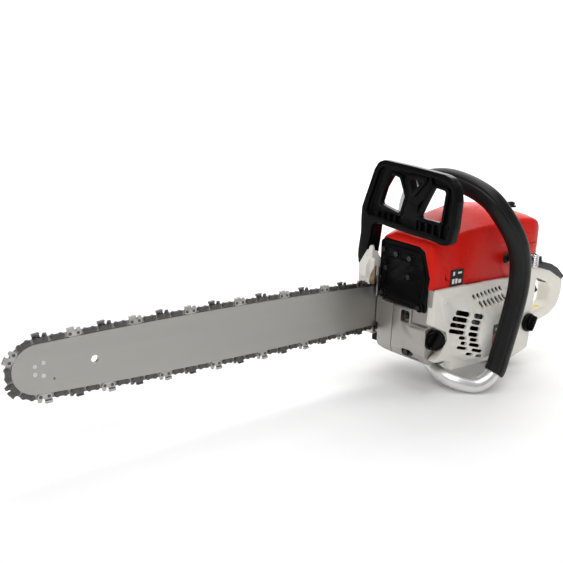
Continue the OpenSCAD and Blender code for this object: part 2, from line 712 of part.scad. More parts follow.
// Outline (y, z) of the hand guard's paddle and leg, and of its windows.
guard_outline = [[10, 60], [10, 76], [4, 96], [4, 118], [-30, 112], [-100, 104], [-122, 101],
    [-130, 106], [-135, 150], [-134, 168], [-126, 180], [-112, 187], [-12, 199], [-2, 197], [6, 188],
    [14, 170], [22, 150], [27, 134], [26, 118], [22, 100], [25, 76], [25, 60]];
guard_windows = [
    [[-14, 177], [-32, 179], [-44, 161], [-43, 134], [-5, 142]],
    [[-57, 179], [-75, 176], [-64, 163]],
    [[-86, 167], [-108, 166], [-107, 130], [-71, 130], [-80, 155]]];
module hand_guard() place() color(black) difference() {
    union() {
        plate(guard_outline, -97, -87);
        rod_y(pivot[0], pivot[1], 10, 10, 25);
    }
    for (w = guard_windows) plate(w, -110, -80);
    for (k = [0:12]) if (k != 6) box([-98, -116 + k * 8.6, 114 + k * 0.9],
        [-92, -111 + k * 8.6, 122 + k * 0.9]);
    rod_y(pivot[0], pivot[1], 4.05, 0, 40);
}

// ---- front handle ----------------------------------------------------------------------------

// Points on a smooth curve through a list of points (Catmull-Rom), a few for each stretch.
function knot(p, i) = p[max(0, min(len(p) - 1, i))];
function curve_at(p, i, t) =
    let (a = knot(p, i - 1), b = knot(p, i), c = knot(p, i + 1), d = knot(p, i + 2))
    0.5 * (2 * b + (c - a) * t + (2 * a - 5 * b + 4 * c - d) * t * t
        + (3 * b - a - 3 * c + d) * t * t * t);
function curve(p, steps) = concat([for (i = [0:len(p) - 2]) for (k = [0:steps - 1])
    curve_at(p, i, k / steps)], [p[len(p) - 1]]);
function unit(v) = v / norm(v);
function heading(p, i) = unit(knot(p, i + 1) - knot(p, i - 1));
// A direction square to each ring's heading, carried along so that the rings don't twist.
function frames(p, i, u) = i >= len(p) ? [] :
    let (h = heading(p, i), v = unit(u - (u * h) * h)) concat([[h, v]], frames(p, i + 1, v));
function ring_points(p, f, r, n) = [for (i = [0:len(p) - 1]) for (k = [0:n - 1])
    let (a = 360 * k / n) p[i] + r * (cos(a) * f[i][1] + sin(a) * cross(f[i][0], f[i][1]))];

// The faces between two neighbouring rings of a skin; first is the skin's first point.
function skin(rings, n, first, inward) = [for (i = [0:rings - 2]) for (k = [0:n - 1])
    let (a = first + i * n + k, b = first + i * n + (k + 1) % n)
    each inward ? [[a, b, a + n], [b, b + n, a + n]] : [[a, a + n, b], [b, a + n, b + n]]];
// A flat ring of faces between an outer and an inner skin's rings.
function rim(n, a0, b0, flip) = [for (k = [0:n - 1]) let (j = (k + 1) % n)
    each flip ? [[a0 + k, b0 + k, a0 + j], [a0 + j, b0 + k, b0 + j]] :
        [[a0 + k, a0 + j, b0 + k], [a0 + j, b0 + j, b0 + k]]];

// A solid rod swept along a smooth curve.
module rod_along(points, r, sides) {
    path = curve(points, 4);
    last = (len(path) - 1) * sides;
    polyhedron(ring_points(path, frames(path, 0, cross(heading(path, 0), [1, 0.3, 0.1])), r, sides),
        concat([[for (k = [0:sides - 1]) k]], [[for (k = [sides - 1:-1:0]) last + k]],
            skin(len(path), sides, 0, false)));
}

// A hollow tube over given rings: their centres, their frames and its two radii.
module tube_over(path, f, r_out, r_in, sides) {
    inner = len(path) * sides;
    last = inner - sides;
    polyhedron(concat(ring_points(path, f, r_out, sides), ring_points(path, f, r_in, sides)),
        concat(skin(len(path), sides, 0, false), skin(len(path), sides, inner, true),
            rim(sides, 0, inner, false), rim(sides, last, inner + last, true)));
}

// Where the front handle's lower end sits in the case: [y, z], and the end's x.
foot = [-48, -72.6];
foot_x = 7;
// The front handle's middle line, from its right foot over the top and round under the case.
handle_line = [[-30, 8, 84], [-30, 8, 118], [-29, 3, 150], [-26, -16, 170], [-20, -50, 177],
    [-17, -85, 171], [-12, -117, 156], [-1, -135, 132], [18, -142, 104], [31, -143, 75],
    [35, -142, 41], [30, -140, 2], [20, -137, -46], [10, -135, -76], [-12, -127, -92.2],
    [-34, -108, -88], [-42, -86, -81], [-36, -64, -74.5], [-20, -49, -73], [foot_x - 12, foot[0], foot[1]],
    [foot_x, foot[0], foot[1]]];
handle_steps = 3;
handle_path = curve(handle_line, handle_steps);
handle_frames = frames(handle_path, 0, cross(heading(handle_path, 0), [1, 0.3, 0.1]));
module front_handle_tube() place() color("#c9c9c6")
    tube_over(handle_path, handle_frames, tube_r, tube_r - 2, 16);

// The sleeve covers the middle line between these points, on the tube's own facets.
sleeve_first = 3;
sleeve_last = 13;
module handle_sleeve() place() color(black) {
    part = [for (i = [sleeve_first * handle_steps:sleeve_last * handle_steps - 1]) i];
    tube_over([for (i = part) handle_path[i]], [for (i = part) handle_frames[i]], sleeve_r, tube_r, 16);
}

// ---- rear handle and fuel tank ---------------------------------------------------------------
grip_y = -55;
grip_profile = [[120, -78], [150, -78], [170, -64], [215, -57], [256, -48], [276, -36], [285, -14],
    [285, 8], [276, 14], [240, 30], [190, 42], [120, 44]];
grip_window = [[162, 18], [170, 22], [212, 18], [240, 8], [250, 0], [248, -24], [238, -32],
    [170, -38], [162, -34]];
tank_outline = [[92, -88], [102, -bar_z], [138, -bar_z], [156, -84], [158, 45], [102, 45], [102, 28],
    [92, 28]];
tank_y0 = -95;
tank_y1 = -16;
trigger_pin = [196, 26];
lockout_pin = [214, 27];

module rear_handle() place() color("#ece9dd") {
    difference() {
        union() {
            slab(grip_profile, grip_y - grip_t / 2, grip_y + grip_t / 2);
            slab(tank_outline, tank_y0, tank_y1);
        }
        slab(grip_window, -110, 0);
        plate([[-100, -60], [-95, -76], [-70, -bar_z], [-70, -110], [-100, -110]], 80, 162);
        box([96, -91, -72], [152, -20, -4]);
        box([106, -91, 4], [154, -20, 50]);
        rod_z(118.7, -43.4, 4.6, -8, 8);
        rod_x(seam, throat_z, 12.5, 100, 108);
        rod_y(fuel_c[0], fuel_c[1], 10, -100, -85);
        box([176, grip_y - 7.5, 6], [264, grip_y + 7.5, 60]);
        slab([[186, 41], [240, 27], [280, 8], [300, 40], [186, 60]], -100, 0);
    }
    for (p = [trigger_pin, lockout_pin]) rod_y(p[0], p[1], 2, grip_y - 8, grip_y + 8);
}

module grip_cover() place() color("#3c3c3f") difference() {
    slab([[186, 41.2], [240, 27.2], [280, 8.2], [281, 11], [242, 33], [188, 46]],
        grip_y - grip_t / 2, grip_y + grip_t / 2);
    box([202, grip_y - 6.5, 0], [262, grip_y + 6.5, 60]);
}

module throttle_trigger() place() color(black) difference() {
    union() {
        slab([[190, 32], [202, 32], [204, 18], [222, -4], [214, -8], [192, 12]], grip_y - 6, grip_y + 6);
        rod_y(trigger_pin[0], trigger_pin[1], 5, grip_y - 6, grip_y + 6);
    }
    rod_y(trigger_pin[0], trigger_pin[1], 2.05, -100, 0);
}

module throttle_lockout() place() color(black) difference() {
    union() {
        slab([[216, 30], [222, 42], [244, 38], [258, 26], [254, 22], [240, 24], [220, 24]],
            grip_y - 6, grip_y + 6);
        rod_y(lockout_pin[0], lockout_pin[1], 4.5, grip_y - 6, grip_y + 6);
    }
    rod_y(lockout_pin[0], lockout_pin[1], 2.05, -100, 0);
}

fuel_c = [144, -36];
// A screw cap of radius r with a grip bar across it; its axis is X, and its seat is at X = 0.
module cap(r, plug_r, plug_l) {
    rod_x(0, 0, r, 0.4, 6);
    rod_x(0, 0, r - 2, 6, 8);
    rod_x(0, 0, plug_r, -plug_l, 0.4);
    box([8, -3.2, -r + 2], [14, 3.2, r - 2]);
}
module oil_cap() place() color(black) at_oil_cap() rotate([70, 0, 0]) cap(14, 10.6, 10);
module fuel_cap() place() color(black) translate([fuel_c[0], -95, fuel_c[1]]) rotate([0, 0, -90])
    rotate([20, 0, 0]) cap(14, 9.6, 8);

module rear_bracket() place() color(black) difference() {
    union() {
        box([104, -84.3, 45.2], [150, -22, 52]);
        slab([[140, 45.2], [140, 60], [186, 58], [190, 46.2]], -82, -28);
        for (y = [-47, -34.7]) box([160, y, 56], [168, y + 1.7, 66]);
        rod_y(switch_c[0], switch_c[1], 1.5, -46, -34);
    }
    box([108, -80, 44], [146, -26, 51.9]);
    box([108, -80, 44], [140, -26, 60]);
    rod_x(seam, throat_z, 12.5, 100, 110);
    for (k = [0:4]) box([146 + k * 8, -84, 48], [149 + k * 8, -78, 56]);
    rod_x(-60, 52, 4.1, 180, 200);
    box([150, -70, 47], [182, -36, 56]);
}

module choke_knob() place() color(black) {
    rod_x(-60, 52, 4, 176, 192);
    rod_x(-60, 52, 7, 192, 200);
}

switch_c = [164, 64];
module stop_switch() place() color("#b3261e") translate([switch_c[0], -40, switch_c[1]]) difference() {
    union() {
        rod_y(0, 0, 3.5, -5, 5);
        slab([[-7, 1], [-6, 5], [0, 3], [6, 5], [7, 1], [0, -1]], -5, 5);
    }
    rod_y(0, 0, 1.55, -8, 8);
}

// A coil spring standing along Z: each turn of wire is a closed ring.
module coil(r, wire, z0, z1, turns) for (k = [0:turns - 1])
    translate([0, 0, z0 + wire + k * (z1 - z0 - 2 * wire) / (turns - 1)])
        rotate_extrude() translate([r, 0]) circle(r = wire, $fn = 16);

module av_springs() place() color("#d0d0ce") {
    translate([152, -91, 0]) coil(5.4, 1, 45.2, 66, 7);
    translate([86.5, -80, 0]) coil(4, 0.9, -60, -45, 6);
}

module fuel_line() place() color("#9c6a2a")
    rod_along([[110, -40, 30], [118, -42, 10], [120, -46, -20], [112, -50, -50], [104, -52, -66]], 2.6, 8);

// ---- starter grip ----------------------------------------------------------------------------
grip_rest = [84, -113, 66];
module starter_grip() place() color(black) translate(grip_rest) difference() {
    union() {
        rod_x(0, 0, 8, -22, 22);
        rod_z(0, 0, 6, -16, 0);
    }
    rod_z(0, 0, 2, -20, 4);
}

crankcase_left();
crankcase_right();
case_screws();
engine_cylinder();
spark_plug();
plug_boot();
ignition_coil();
muffler();
muffler_guard();
top_cover();
air_filter();
intake_boot();
carburettor();
starter_cover();
recoil_spring();
clutch_cover();
brake_band();
cover_strip();
bar_studs();
bar_nuts();
guide_bar();
nose_rivets();
chain_drive_links();
chain_tie_straps();
chain_cutters_left();
chain_cutters_right();
chain_rivets();
chain_catcher();
main_bearings();
crank_seals();
rear_handle();
grip_cover();
front_handle_tube();
handle_sleeve();
av_springs();
rear_bracket();
fuel_line();
hand_guard();
throttle_trigger();
throttle_lockout();
throttle_shaft();
choke_knob();
choke_plate();
starter_grip();
starter_reel();
flywheel();
crankshaft_left();
crankshaft_right();
clutch_hub();
clutch_shoes();
conrod();
piston();
piston_rings();
gudgeon_pin();
clutch_drum();
nose_sprocket();
oil_cap();
fuel_cap();
stop_switch();
cover_knob();
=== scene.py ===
"""Looks of the petrol chainsaw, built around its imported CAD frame.

Shapes are given in millimetres from the saw's own reference point: X and Z from the crank axis,
Y from the middle of the guide bar. X runs to the rear handle, Y to the clutch side, Z up.
"""

import json
import math

import bmesh
import bpy
from mathutils import Matrix, Vector


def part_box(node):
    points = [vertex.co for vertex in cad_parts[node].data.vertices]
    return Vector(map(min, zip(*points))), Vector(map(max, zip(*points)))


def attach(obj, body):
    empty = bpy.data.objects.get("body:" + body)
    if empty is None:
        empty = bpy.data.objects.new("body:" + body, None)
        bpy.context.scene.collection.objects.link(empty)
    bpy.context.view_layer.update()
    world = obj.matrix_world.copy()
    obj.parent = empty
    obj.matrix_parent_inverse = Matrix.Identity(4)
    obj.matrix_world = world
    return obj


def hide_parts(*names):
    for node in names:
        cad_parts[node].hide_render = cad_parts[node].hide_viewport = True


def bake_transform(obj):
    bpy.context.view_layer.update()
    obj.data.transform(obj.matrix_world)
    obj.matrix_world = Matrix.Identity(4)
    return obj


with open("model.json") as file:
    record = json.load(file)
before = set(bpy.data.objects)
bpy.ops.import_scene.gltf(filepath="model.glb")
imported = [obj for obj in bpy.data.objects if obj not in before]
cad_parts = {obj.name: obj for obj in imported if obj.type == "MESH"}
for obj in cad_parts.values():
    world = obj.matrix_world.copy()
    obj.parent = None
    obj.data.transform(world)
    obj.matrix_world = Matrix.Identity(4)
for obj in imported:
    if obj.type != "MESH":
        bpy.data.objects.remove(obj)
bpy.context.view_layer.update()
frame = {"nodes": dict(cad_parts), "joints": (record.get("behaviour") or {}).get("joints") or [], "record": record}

MM = 0.001

joints = {j["name"]: j for j in frame["joints"]}
bar_lo, bar_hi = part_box("guide_bar")
crank = joints["crank_spin"]["pos_m"]
ORIGIN = Vector((crank[0], (bar_lo.y + bar_hi.y) / 2, crank[2]))


def at(x, y, z):
    """A point of the saw's own frame, in metres in the row frame."""
    return ORIGIN + Vector((x, y, z)) * MM


# ---- camera, lights and floor --------------------------------------------------------------

EYE = (-740.3, -619.2, 236.3)
YAW, PITCH, ROLL = 38.31, 13.11, 2.0
LENS = 42.52


def make_camera():
    data = bpy.data.cameras.new("camera")
    data.lens = LENS
    data.sensor_width = 36
    camera = bpy.data.objects.new("camera", data)
    bpy.context.scene.collection.objects.link(camera)
    yaw, pitch, roll = (math.radians(a) for a in (YAW, PITCH, ROLL))
    forward = Vector((math.cos(pitch) * math.sin(yaw), math.cos(pitch) * math.cos(yaw), -math.sin(pitch)))
    level = Vector((math.cos(yaw), -math.sin(yaw), 0))
    up = level.cross(forward)
    right = math.cos(roll) * level + math.sin(roll) * up
    up = -math.sin(roll) * level + math.cos(roll) * up
    matrix = Matrix((right, up, -forward)).transposed().to_4x4()
    matrix.translation = at(*EYE)
    camera.matrix_world = matrix
    bpy.context.scene.camera = camera


def area_light(name, place, aim, size, power):
    data = bpy.data.lights.new(name, "AREA")
    data.shape = "RECTANGLE"
    data.size, data.size_y = size
    data.energy = power
    light = bpy.data.objects.new(name, data)
    bpy.context.scene.collection.objects.link(light)
    light.location = place
    light.rotation_euler = (Vector(aim) - Vector(place)).to_track_quat("-Z", "Y").to_euler()


def make_studio():
    world = bpy.data.worlds.new("studio")
    world.use_nodes = True
    background = world.node_tree.nodes["Background"]
    background.inputs["Color"].default_value = (1.0, 1.0, 1.0, 1)
    background.inputs["Strength"].default_value = 0.3
    bpy.context.scene.world = world
    bpy.context.scene.view_settings.view_transform = "Standard"
    area_light("key", (-1.3, -1.1, 1.7), (0.1, 0, 0.1), (1.0, 1.0), 15)
    area_light("top", (0.1, -0.3, 1.9), (0.1, 0, 0.1), (1.2, 0.9), 12)
    area_light("fill", (-1.9, 0.6, 0.8), (0.0, 0, 0.15), (0.9, 0.9), 4.5)
    area_light("rim", (1.5, 0.9, 1.3), (0.1, 0, 0.1), (0.8, 1.0), 2)
    area_light("backdrop", (1.6, 1.2, 3.6), (3.2, 3.6, 0.6), (4.0, 2.0), 180)
    backdrop = new_object("backdrop", *sweep_of_paper())
    backdrop.data.materials.append(plastic("floor_pale", (0.93, 0.93, 0.93), 0.7, vary=0.01, grain=0))
    smooth(backdrop, 60)


def sweep_of_paper():
    """A sheet of studio paper, in metres: flat under the saw, and curving up behind it."""
    near, flat, bend, top, half_width = -3.0, 2.6, 1.4, 5.0, 7
    under_saw = 0.0002
    back = Vector((math.sin(math.radians(YAW)), math.cos(math.radians(YAW)), 0))
    across = Vector((back.y, -back.x, 0))
    line = [(near, 0.0), (flat, 0.0)]
    for degrees in range(6, 91, 6):
        turn = math.radians(degrees)
        line.append((flat + bend * math.sin(turn), bend - bend * math.cos(turn)))
    line.append((flat + bend, top))
    vertices = [back * d + across * w + Vector((0, 0, z - under_saw))
                for w in (-half_width, half_width) for d, z in line]
    count = len(line)
    return vertices, [(i, i + 1, count + i + 1, count + i) for i in range(count - 1)]


# ---- materials -----------------------------------------------------------------------------

def material(name, color, rough, metal=0.0, vary=0.06, grain=0.1, scale=900.0, stretch=(1, 1, 1),
             rough_vary=0.06, coat=0.0, wear=0.0, broad=14.0, sss=0.0, shine=0.5):
    """A procedural finish: broad colour drift, fine grain in bump and gloss, paler worn edges."""
    mat = bpy.data.materials.new(name)
    mat.use_nodes = True
    nodes, links = mat.node_tree.nodes, mat.node_tree.links
    bsdf = nodes["Principled BSDF"]
    bsdf.inputs["Metallic"].default_value = metal
    bsdf.inputs["Coat Weight"].default_value = coat
    bsdf.inputs["Coat Roughness"].default_value = 0.12
    bsdf.inputs["Specular IOR Level"].default_value = shine
    if sss:
        bsdf.inputs["Subsurface Weight"].default_value = sss
        bsdf.inputs["Subsurface Radius"].default_value = (0.004, 0.003, 0.002)
    coords = nodes.new("ShaderNodeTexCoord")
    mapping = nodes.new("ShaderNodeMapping")
    mapping.inputs["Scale"].default_value = stretch
    links.new(coords.outputs["Object"], mapping.inputs["Vector"])

    def noise(size, detail):
        node = nodes.new("ShaderNodeTexNoise")
        node.inputs["Scale"].default_value = size
        node.inputs["Detail"].default_value = detail
        links.new(mapping.outputs["Vector"], node.inputs["Vector"])
        return node.outputs["Fac"]

    drift = noise(broad, 3)
    fine = noise(scale, 2)
    ramp = nodes.new("ShaderNodeValToRGB")
    ramp.color_ramp.elements[0].position = 0.3
    ramp.color_ramp.elements[1].position = 0.7
    ramp.color_ramp.elements[0].color = [c * (1 - vary) for c in color] + [1]
    ramp.color_ramp.elements[1].color = [min(1, c * (1 + vary)) for c in color] + [1]
    links.new(drift, ramp.inputs["Fac"])
    tint = ramp.outputs["Color"]
    if wear:
        geometry = nodes.new("ShaderNodeNewGeometry")
        edge = nodes.new("ShaderNodeValToRGB")
        edge.color_ramp.elements[0].position = 0.53
        edge.color_ramp.elements[1].position = 0.62
        edge.color_ramp.elements[1].color = (wear, wear, wear, 1)
        links.new(geometry.outputs["Pointiness"], edge.inputs["Fac"])
        mix = nodes.new("ShaderNodeMix")
        mix.data_type = "RGBA"
        mix.inputs["B"].default_value = [min(1, c * 1.5 + 0.08) for c in color] + [1]
        links.new(edge.outputs["Color"], mix.inputs["Factor"])
        links.new(tint, mix.inputs["A"])
        tint = mix.outputs["Result"]
    links.new(tint, bsdf.inputs["Base Color"])
    spread = nodes.new("ShaderNodeMapRange")
    spread.inputs["To Min"].default_value = max(0.02, rough - rough_vary)
    spread.inputs["To Max"].default_value = min(1, rough + rough_vary)
    links.new(fine if metal else drift, spread.inputs["Value"])
    links.new(spread.outputs["Result"], bsdf.inputs["Roughness"])
    if grain:
        bump = nodes.new("ShaderNodeBump")
        bump.inputs["Strength"].default_value = grain
        bump.inputs["Distance"].default_value = 0.0003
        links.new(fine, bump.inputs["Height"])
        links.new(bump.outputs["Normal"], bsdf.inputs["Normal"])
    return mat


def plastic(name, color, rough, **more):
    return material(name, color, rough, **more)


def metal(name, color, rough, **more):
    return material(name, color, rough, metal=1.0, **more)


def make_materials():
    return {
        "red_plastic": plastic("red_plastic", (0.66, 0.013, 0.007), 0.27,
                               vary=0.05, grain=0.03, shine=0.1),
        "ivory_plastic": plastic("ivory_plastic", (0.74, 0.72, 0.66), 0.4,
                                 vary=0.03, grain=0.1, wear=0.15),
        "reel_plastic": plastic("reel_plastic", (0.13, 0.135, 0.12), 0.5, vary=0.05, grain=0.1),
        "nylon": plastic("nylon", (0.85, 0.82, 0.74), 0.36, vary=0.03, grain=0.05, sss=0.25),
        "black_plastic": plastic("black_plastic", (0.0022, 0.0022, 0.0025), 0.24,
                                 vary=0.15, grain=0.08, wear=0.04, shine=0.1),
        "grey_plastic": plastic("grey_plastic", (0.025, 0.026, 0.03), 0.46,
                                vary=0.1, grain=0.3, scale=700, shine=0.4),
        "rubber": plastic("rubber", (0.006, 0.006, 0.0064), 0.4,
                          vary=0.15, grain=0.2, scale=1200, shine=0.25),
        "die_cast": metal("die_cast", (0.4, 0.383, 0.358), 0.4,
                          vary=0.05, grain=0.35, scale=650, wear=0.2),
        "tube_metal": metal("tube_metal", (0.78, 0.78, 0.77), 0.4, vary=0.04, grain=0.05, coat=0.4),
        "bar_steel": metal("bar_steel", (0.42, 0.41, 0.385), 0.42, vary=0.035, grain=0.06, scale=1500,
                           stretch=(0.04, 1, 1), broad=40),
        "chain_steel": metal("chain_steel", (0.06, 0.058, 0.054), 0.38,
                             vary=0.3, grain=0.2, wear=0.5, broad=60),
        "cutter_steel": metal("cutter_steel", (0.33, 0.325, 0.31), 0.3,
                              vary=0.3, grain=0.15, broad=90, wear=0.3),
        "dark_cutter": metal("dark_cutter", (0.09, 0.087, 0.083), 0.34,
                             vary=0.3, grain=0.2, wear=0.5, broad=90),
        "rivet_dark": metal("rivet_dark", (0.05, 0.049, 0.047), 0.32,
                            vary=0.2, grain=0.1, wear=0.6, broad=70),
        "drive_steel": metal("drive_steel", (0.26, 0.255, 0.245), 0.34, vary=0.2, grain=0.1, broad=70),
        "bright_steel": metal("bright_steel", (0.56, 0.56, 0.55), 0.28, vary=0.06, grain=0.08, broad=50),
        "dark_steel": metal("dark_steel", (0.03, 0.03, 0.032), 0.4, vary=0.2, grain=0.2, wear=0.3),
        "heat_steel": metal("heat_steel", (0.3, 0.27, 0.24), 0.5, vary=0.25, grain=0.3, broad=30),
        # Bronze-brown, used only for the patch by the hook: painted shade with a warm reflection.
        "painted_warm_shade": metal("painted_warm_shade", (0.34, 0.25, 0.17), 0.4, vary=0.15, grain=0.2),
        "chrome_wire": metal("chrome_wire", (0.85, 0.85, 0.85), 0.12, vary=0.03, grain=0),
        "ceramic": plastic("ceramic", (0.86, 0.85, 0.8), 0.15, vary=0.02, grain=0, coat=0.5),
        "filter_felt": plastic("filter_felt", (0.6, 0.54, 0.36), 0.9, vary=0.12, grain=0.8, scale=500),
        "amber_hose": plastic("amber_hose", (0.38, 0.17, 0.04), 0.3, vary=0.1, grain=0.05, coat=0.3),
        "shoe_lining": plastic("shoe_lining", (0.08, 0.07, 0.065), 0.7, vary=0.25, grain=0.6),
        "label_black": plastic("label_black", (0.008, 0.008, 0.009), 0.42, vary=0.1, grain=0, shine=0.25),
        "label_white": plastic("label_white", (0.8, 0.8, 0.78), 0.5, vary=0.03, grain=0),
        "label_red": plastic("label_red", (0.5, 0.03, 0.03), 0.45, vary=0.06, grain=0),
        "label_yellow": plastic("label_yellow", (0.8, 0.6, 0.08), 0.5, vary=0.05, grain=0),
        "switch_red": plastic("switch_red", (0.55, 0.02, 0.015), 0.3, vary=0.05, grain=0.05),
    }


# ---- mesh helpers --------------------------------------------------------------------------

AXES = {"x": lambda a, b, h: at(h, a, b), "y": lambda a, b, h: at(a, h, b), "z": lambda a, b, h: at(a, b, h)}


def new_object(name, vertices, faces):
    mesh = bpy.data.meshes.new(name)
    mesh.from_pydata([tuple(v) for v in vertices], [], faces)
    tidy = bmesh.new()
    tidy.from_mesh(mesh)
    bmesh.ops.recalc_face_normals(tidy, faces=tidy.faces)
    tidy.to_mesh(mesh)
    tidy.free()
    obj = bpy.data.objects.new(name, mesh)
    bpy.context.scene.collection.objects.link(obj)
    return obj


def area(points):
    return sum(a[0] * b[1] - b[0] * a[1] for a, b in zip(points, points[1:] + points[:1])) / 2


def inset(points, depth):
    """The outline with each edge moved in by a depth, or out by a negative one."""
    side = 1 if area(points) > 0 else -1
    count = len(points)
    result = []
    for i in range(count):
        p, q, r = (Vector(points[k % count]) for k in (i - 1, i, i + 1))
        d1, d2 = (q - p).normalized(), (r - q).normalized()
        n1, n2 = Vector((-d1.y, d1.x)) * side, Vector((-d2.y, d2.x)) * side
        corner = n1 + n2
        result.append(tuple(q + corner * (depth / max(0.35, corner.dot(n1)))))
    return result


def rounded(points, radius, steps=5):
    """The outline with its corners rounded, each as far as its edges allow."""
    count = len(points)
    result = []
    for i in range(count):
        p, q, r = (Vector(points[k % count]) for k in (i - 1, i, i + 1))
        d1, d2 = (p - q), (r - q)
        half = d1.angle(d2) / 2
        cut = min(radius / math.tan(half), 0.48 * d1.length, 0.48 * d2.length)
        a, b = q + d1.normalized() * cut, q + d2.normalized() * cut
        if cut < 0.2:
            result.append(tuple(q))
            continue
        for k in range(steps + 1):
            t = k / steps
            result.append(tuple(a * (1 - t) ** 2 + q * 2 * t * (1 - t) + b * t * t))
    return result


def prism(name, points, axis, lo, hi, radius=0.0):
    """An outline across an axis, from lo to hi along it."""
    if radius:
        points = rounded(points, radius)
    place = AXES[axis]
    count = len(points)
    vertices = [place(a, b, h) for h in (lo, hi) for a, b in points]
    sides = [(i, (i + 1) % count, count + (i + 1) % count, count + i) for i in range(count)]
    ends = [tuple(range(count)), tuple(range(2 * count - 1, count - 1, -1))]
    return new_object(name, vertices, ends + sides)


def block(name, lo, hi):
    corners = [(lo[0], lo[2]), (hi[0], lo[2]), (hi[0], hi[2]), (lo[0], hi[2])]
    return prism(name, corners, "y", lo[1], hi[1])


def loft(name, rings):
    """A closed skin over rings of points of the row frame."""
    count = len(rings[0])
    vertices = [p for ring in rings for p in ring]
    faces = []
    for i in range(len(rings) - 1):
        low, high = i * count, (i + 1) * count
        for k in range(count):
            after = (k + 1) % count
            faces.append((low + k, low + after, high + after, high + k))
    faces.append(tuple(range(count)))
    faces.append(tuple(range(len(vertices) - 1, len(vertices) - count - 1, -1)))
    return new_object(name, vertices, faces)


def turned(name, profile, place, direction, steps=40, radius_of=None):
    """A solid of revolution: profile is (radius, height) pairs along a direction from a place."""
    axis = Vector(direction).normalized()
    side = axis.cross(Vector((0.3, 0.2, 1)) if abs(axis.z) < 0.9 else Vector((1, 0, 0))).normalized()
    other = axis.cross(side)
    base = at(*place)
    rings = []
    for radius, height in profile:
        ring = []
        for k in range(steps):
            turn = math.tau * k / steps
            r = radius * (radius_of(turn, height) if radius_of else 1)
            ring.append(base + (axis * height + (side * math.cos(turn) + other * math.sin(turn)) * r) * MM)
        rings.append(ring)
    return loft(name, rings)


def curve_points(points, steps):
    """Points on a smooth curve through the given ones (Catmull-Rom)."""
    path = [Vector(p) for p in points]
    ends = [path[0]] + path + [path[-1]]
    result = []
    for i in range(len(path) - 1):
        a, b, c, d = ends[i:i + 4]
        for k in range(steps):
            t = k / steps
            result.append(0.5 * (2 * b + (c - a) * t + (2 * a - 5 * b + 4 * c - d) * t * t
                                 + (3 * b - a - 3 * c + d) * t ** 3))
    return result + [path[-1]]


def swept(name, path, radius, sides=24, up=(0, 0.3, 1)):
    """A rod along a path of saw-frame points; radius is a number or a function of (share, angle)."""
    rings = []
    lean = Vector(up)
    for i, point in enumerate(path):
        heading = (path[min(i + 1, len(path) - 1)] - path[max(i - 1, 0)]).normalized()
        lean = (lean - heading * lean.dot(heading)).normalized()
        other = heading.cross(lean)
        ring = []
        for k in range(sides):
            turn = math.tau * k / sides
            r = radius(i / (len(path) - 1), turn) if callable(radius) else radius
            ring.append(at(*(point + (lean * math.cos(turn) + other * math.sin(turn)) * r)))
        rings.append(ring)
    return loft(name, rings)


def freeze(obj):
    """Applies an object's modifiers."""
    graph = bpy.context.evaluated_depsgraph_get()
    graph.update()
    mesh = bpy.data.meshes.new_from_object(obj.evaluated_get(graph))
    obj.modifiers.clear()
    obj.data = mesh


def combine(obj, tools, operation):
    for tool in tools:
        modifier = obj.modifiers.new("join", "BOOLEAN")
        modifier.object = tool
        modifier.operation = operation
        modifier.solver = "EXACT"
    freeze(obj)
    for tool in tools:
        bpy.data.objects.remove(tool)
    return obj


def cut(obj, *tools):
    return combine(obj, tools, "DIFFERENCE")


def add(obj, *tools):
    return combine(obj, tools, "UNION")


def soften(obj, width, segments=3, angle=32):
    """Rounds the edges that are sharper than an angle, and shades the rest smoothly."""
    tidy = bmesh.new()
    tidy.from_mesh(obj.data)
    bmesh.ops.remove_doubles(tidy, verts=tidy.verts, dist=0.00002)
    bmesh.ops.dissolve_limit(tidy, angle_limit=math.radians(1), verts=tidy.verts, edges=tidy.edges)
    tidy.to_mesh(obj.data)
    tidy.free()
    bevel = obj.modifiers.new("edges", "BEVEL")
    bevel.width = width * MM
    bevel.segments = segments
    bevel.limit_method = "ANGLE"
    bevel.angle_limit = math.radians(angle)
    bevel.miter_outer = "MITER_ARC"
    bevel.use_clamp_overlap = True
    freeze(obj)
    smooth(obj, 40)
    return obj


def smooth(obj, angle=40):
    """Shades smoothly across edges flatter than an angle."""
    mesh = obj.data
    mesh.shade_smooth()
    tidy = bmesh.new()
    tidy.from_mesh(mesh)
    for edge in tidy.edges:
        if len(edge.link_faces) == 2:
            edge.smooth = edge.calc_face_angle(0) < math.radians(angle)
    tidy.to_mesh(mesh)
    tidy.free()
    return obj


def piece(obj, body, slot, replaced=()):
    """Gives a new piece its finish, its body and the CAD nodes that it stands for."""
    obj.data.materials.clear()
    obj.data.materials.append(FINISH[slot])
    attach(obj, body)
    if replaced:
        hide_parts(*replaced)
    return obj


# ---- CAD nodes that stay -------------------------------------------------------------------

# Nodes whose finish differs from their slot's: the chain's dark rivets and pale drive links, the recoil
# spring and the reel.
OWN_FINISH = {"chain_rivets": "rivet_dark", "chain_drive_links": "drive_steel",
              "recoil_spring": "drive_steel", "starter_reel": "reel_plastic"}


def dress_nodes():
    slots = {s["node"]: s["material_slot"] for s in frame["record"]["subparts"]}
    for name, node in frame["nodes"].items():
        node.data.materials.clear()
        node.data.materials.append(FINISH[OWN_FINISH.get(name, slots[name])])


# ---- covers --------------------------------------------------------------------------------

PANEL = [(-6, 14.4), (-4, 92), (-12, 97), (-74, 93), (-83, 88), (-93.5, 56), (-89, 8)]


SIDE_Y = -98


def side_y(x):
    """The top cover's left wall, which is drawn in where the hand passes under the front handle."""
    return SIDE_Y + 2.4 * math.exp(-((x + 22) / 34) ** 2)


